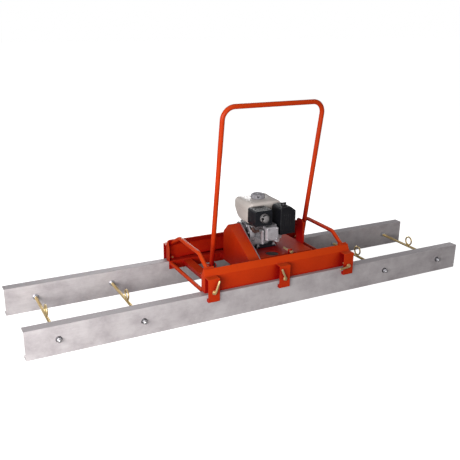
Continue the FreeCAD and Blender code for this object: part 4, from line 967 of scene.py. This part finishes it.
def make_plug():
    """The spark plug's porcelain and hexagon with the bent rubber cap over it."""
    low, high = corners_of("spark_plug")
    y, z = (low.y + high.y) / 2, (low.z + high.z) / 2
    form = Form().turned((high.x, y, z), -X, [(0, 0.0068), (0.010, 0.0068), (0.011, 0.006)], 20)
    form.hexagon((high.x - 0.010, y, z), -X, 0.0165, 0.009)
    form.turned((high.x - 0.019, y, z), -X, [(0, 0.0052), (0.006, 0.0050)], 16)
    finished("plug_body", form.bm, "frame", "zinc_steel", stands_for=("spark_plug",))
    form = Form().turned((high.x - 0.022, y, z), -X, [
        (0, 0.0072), (0.001, 0.0092), (0.006, 0.0096), (0.007, 0.0086), (0.012, 0.0086), (0.013, 0.0096),
        (0.018, 0.0096), (0.020, 0.0085), (0.028, 0.0080), (0.0295, 0.006), (0.030, 0.002)], 24)
    form.tube([(low.x + 0.012, y, z - 0.007), (low.x + 0.002, y, z), (low.x - 0.008, y, z + 0.007),
               (low.x - 0.013, y + 0.001, z + 0.016), (low.x - 0.013, y + 0.002, z + 0.026),
               (low.x - 0.011, y + 0.004, z + 0.0300)],
              [0.0080, 0.0112, 0.0120, 0.0118, 0.0100, 0.0050], 20)
    finished("plug_cap", form.bm, "frame", "black_rubber", stands_for=("spark_plug",),
             material=PLUG_RUBBER)


PLUG_RUBBER = moulded("plug_rubber", (0.060, 0.027, 0.022), (0.45, 0.65), 500, dust=0.04)
make_plug()


def make_air_cleaner_trim():
    """A lid line, front ribs, clips and the wing nut's seat on the air cleaner's cover."""
    low, high = CLEANER_LOW, CLEANER_HIGH
    form, gap, inset, lid = Form(), 0.004, 0.0008, low.z + 0.020
    square = [(low.x + gap, low.y + inset), (high.x - gap, low.y + inset),
              (high.x - inset, low.y + gap), (high.x - inset, high.y - gap),
              (high.x - gap, high.y - inset), (low.x + gap, high.y - inset),
              (low.x + inset, high.y - gap), (low.x + inset, low.y + gap)]
    for height in (lid, lid + 0.006):
        form.tube([(x, y, height) for x, y in square], 0.0019, 8, loop=True)
    for k in range(4):
        x = low.x + 0.024 + k * 0.016
        form.tube([(x, low.y + 0.0006, height) for height in
                   (low.z + 0.038, low.z + 0.046, high.z - 0.052, high.z - 0.044)],
                  [0.0006, 0.0022, 0.0022, 0.0006], 8)
    for x in (low.x + 0.020, high.x - 0.026):
        form.block((x - 0.007, low.y - 0.003, low.z + 0.002),
                   (x + 0.007, low.y + 0.001, low.z + 0.016))
    nut_low, nut_high = corners_of("air_cleaner_nut")
    middle = (nut_low + nut_high) / 2
    form.turned((middle.x, middle.y, high.z - 0.0015), Z,
                [(0, 0.019), (0.0022, 0.019), (0.003, 0.0175), (0.003, 0.0125), (0.0010, 0.0115)], 32)
    finished("air_cleaner_trim", form.bm, "frame", "black_plastic", 0.0006, 1)


make_air_cleaner_trim()


def make_starter():
    """Cooling vanes, hub and bolts on the starter cover, bolts round the blower housing, and the
    grip with its rope."""
    face, radius = RECOIL_HIGH.x, (RECOIL_HIGH.z - RECOIL_LOW.z) / 2
    hub = Vector((face, CRANK.y, CRANK.z))
    form = Form()
    form.turned(hub - X * 0.001, X, [
        (0, 0.024), (0.003, 0.023), (0.0045, 0.020), (0.005, 0.008), (0.004, 0.001)], 36)
    form.turned(hub - X * 0.0015, X, [
        (0, radius - 0.002), (0.0025, radius - 0.003), (0.0035, radius - 0.006),
        (0.0025, radius - 0.010), (0, radius - 0.011)], 72, loop=True)
    vanes, sweep, grips = 20, 0.22, 12
    for k in range(vanes):
        turn = 2 * math.pi * k / vanes
        near = hub + round_x(turn, 0.027)
        far = hub + round_x(turn + sweep, radius - 0.012)
        form.tube([near, near.lerp(far, 0.15), near.lerp(far, 0.85), far],
                  [0.0008, 0.0026, 0.0030, 0.0008], 8)
    rim = Vector((RECOIL_LOW.x, CRANK.y, CRANK.z))
    for k in range(grips):
        base = rim + round_x(2 * math.pi * (k + 0.5) / grips, radius + 0.0002)
        form.tube([base + X * 0.004, base + X * 0.007, base + X * 0.020, base + X * 0.023],
                  [0.0006, 0.0022, 0.0022, 0.0006], 8)
    finished("starter_vanes", form.bm, "frame", "black_paint", smooth=40)
    form = Form()
    for k in range(3):
        at = rim + round_x(math.radians(90 + 120 * k), radius + 0.006)
        form.turned(at - X * 0.0005, X, [(0, 0.0075), (0.004, 0.0072), (0.0045, 0.0065)], 20)
        form.bolt(at + X * 0.0035, X, 0.009, 0.006)
    for turn in (20, 160, 200, 340):
        at = Vector((HOUSING_LOW.x, CRANK.y, CRANK.z)) + round_x(math.radians(turn), 0.088)
        if at.z < 0.48:
            form.turned(at + X * 0.002, X, [(0, 0.0075), (0.012, 0.0075)], 18)
            form.bolt(at + X * 0.014, X, 0.009, 0.006)
    finished("starter_bolts", form.bm, "frame", "zinc_steel", 0.0003, 1)
    low, high = corners_of("recoil_grip")
    x, z, y = (low.x + high.x) / 2, (low.z + high.z) / 2, low.y + 0.007
    form = Form().turned((x, y, low.z), Z, [
        (0, 0.003), (0.001, 0.0055), (0.004, 0.0068), (0.012, 0.0062), (0.016, 0.0068), (0.022, 0.0070),
        (0.028, 0.0068), (0.032, 0.0062), (0.040, 0.0068), (0.043, 0.0055), (0.044, 0.003)], 24)
    form.turned((x, y, z), Y, [(0.004, 0.0060), (0.009, 0.0046), (0.022, 0.0043), (0.024, 0.003)], 16)
    finished("starter_grip_handle", form.bm, "starter_grip", "black_plastic",
             stands_for=("recoil_grip",))
    rope_start, rope_step = high.y + 0.030, 0.0011
    points = [(x, rope_start - rope_step * k, z) for k in range(60)]
    form = Form().tube(points, 0.0024, 10)
    rope = finished("starter_rope", form.bm, None, "black_rubber", material=ROPE)
    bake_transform(rope)


ROPE = moulded("braided_rope", (0.55, 0.53, 0.50), (0.7, 0.9), 700, 0.0003)
make_starter()

# ---------------------------------------------------------------- the finish of the CAD nodes that stay

for node, slot in SLOTS.items():
    cad = frame["nodes"][node]
    cad.data.materials.clear()
    cad.data.materials.append(MATERIALS[slot])
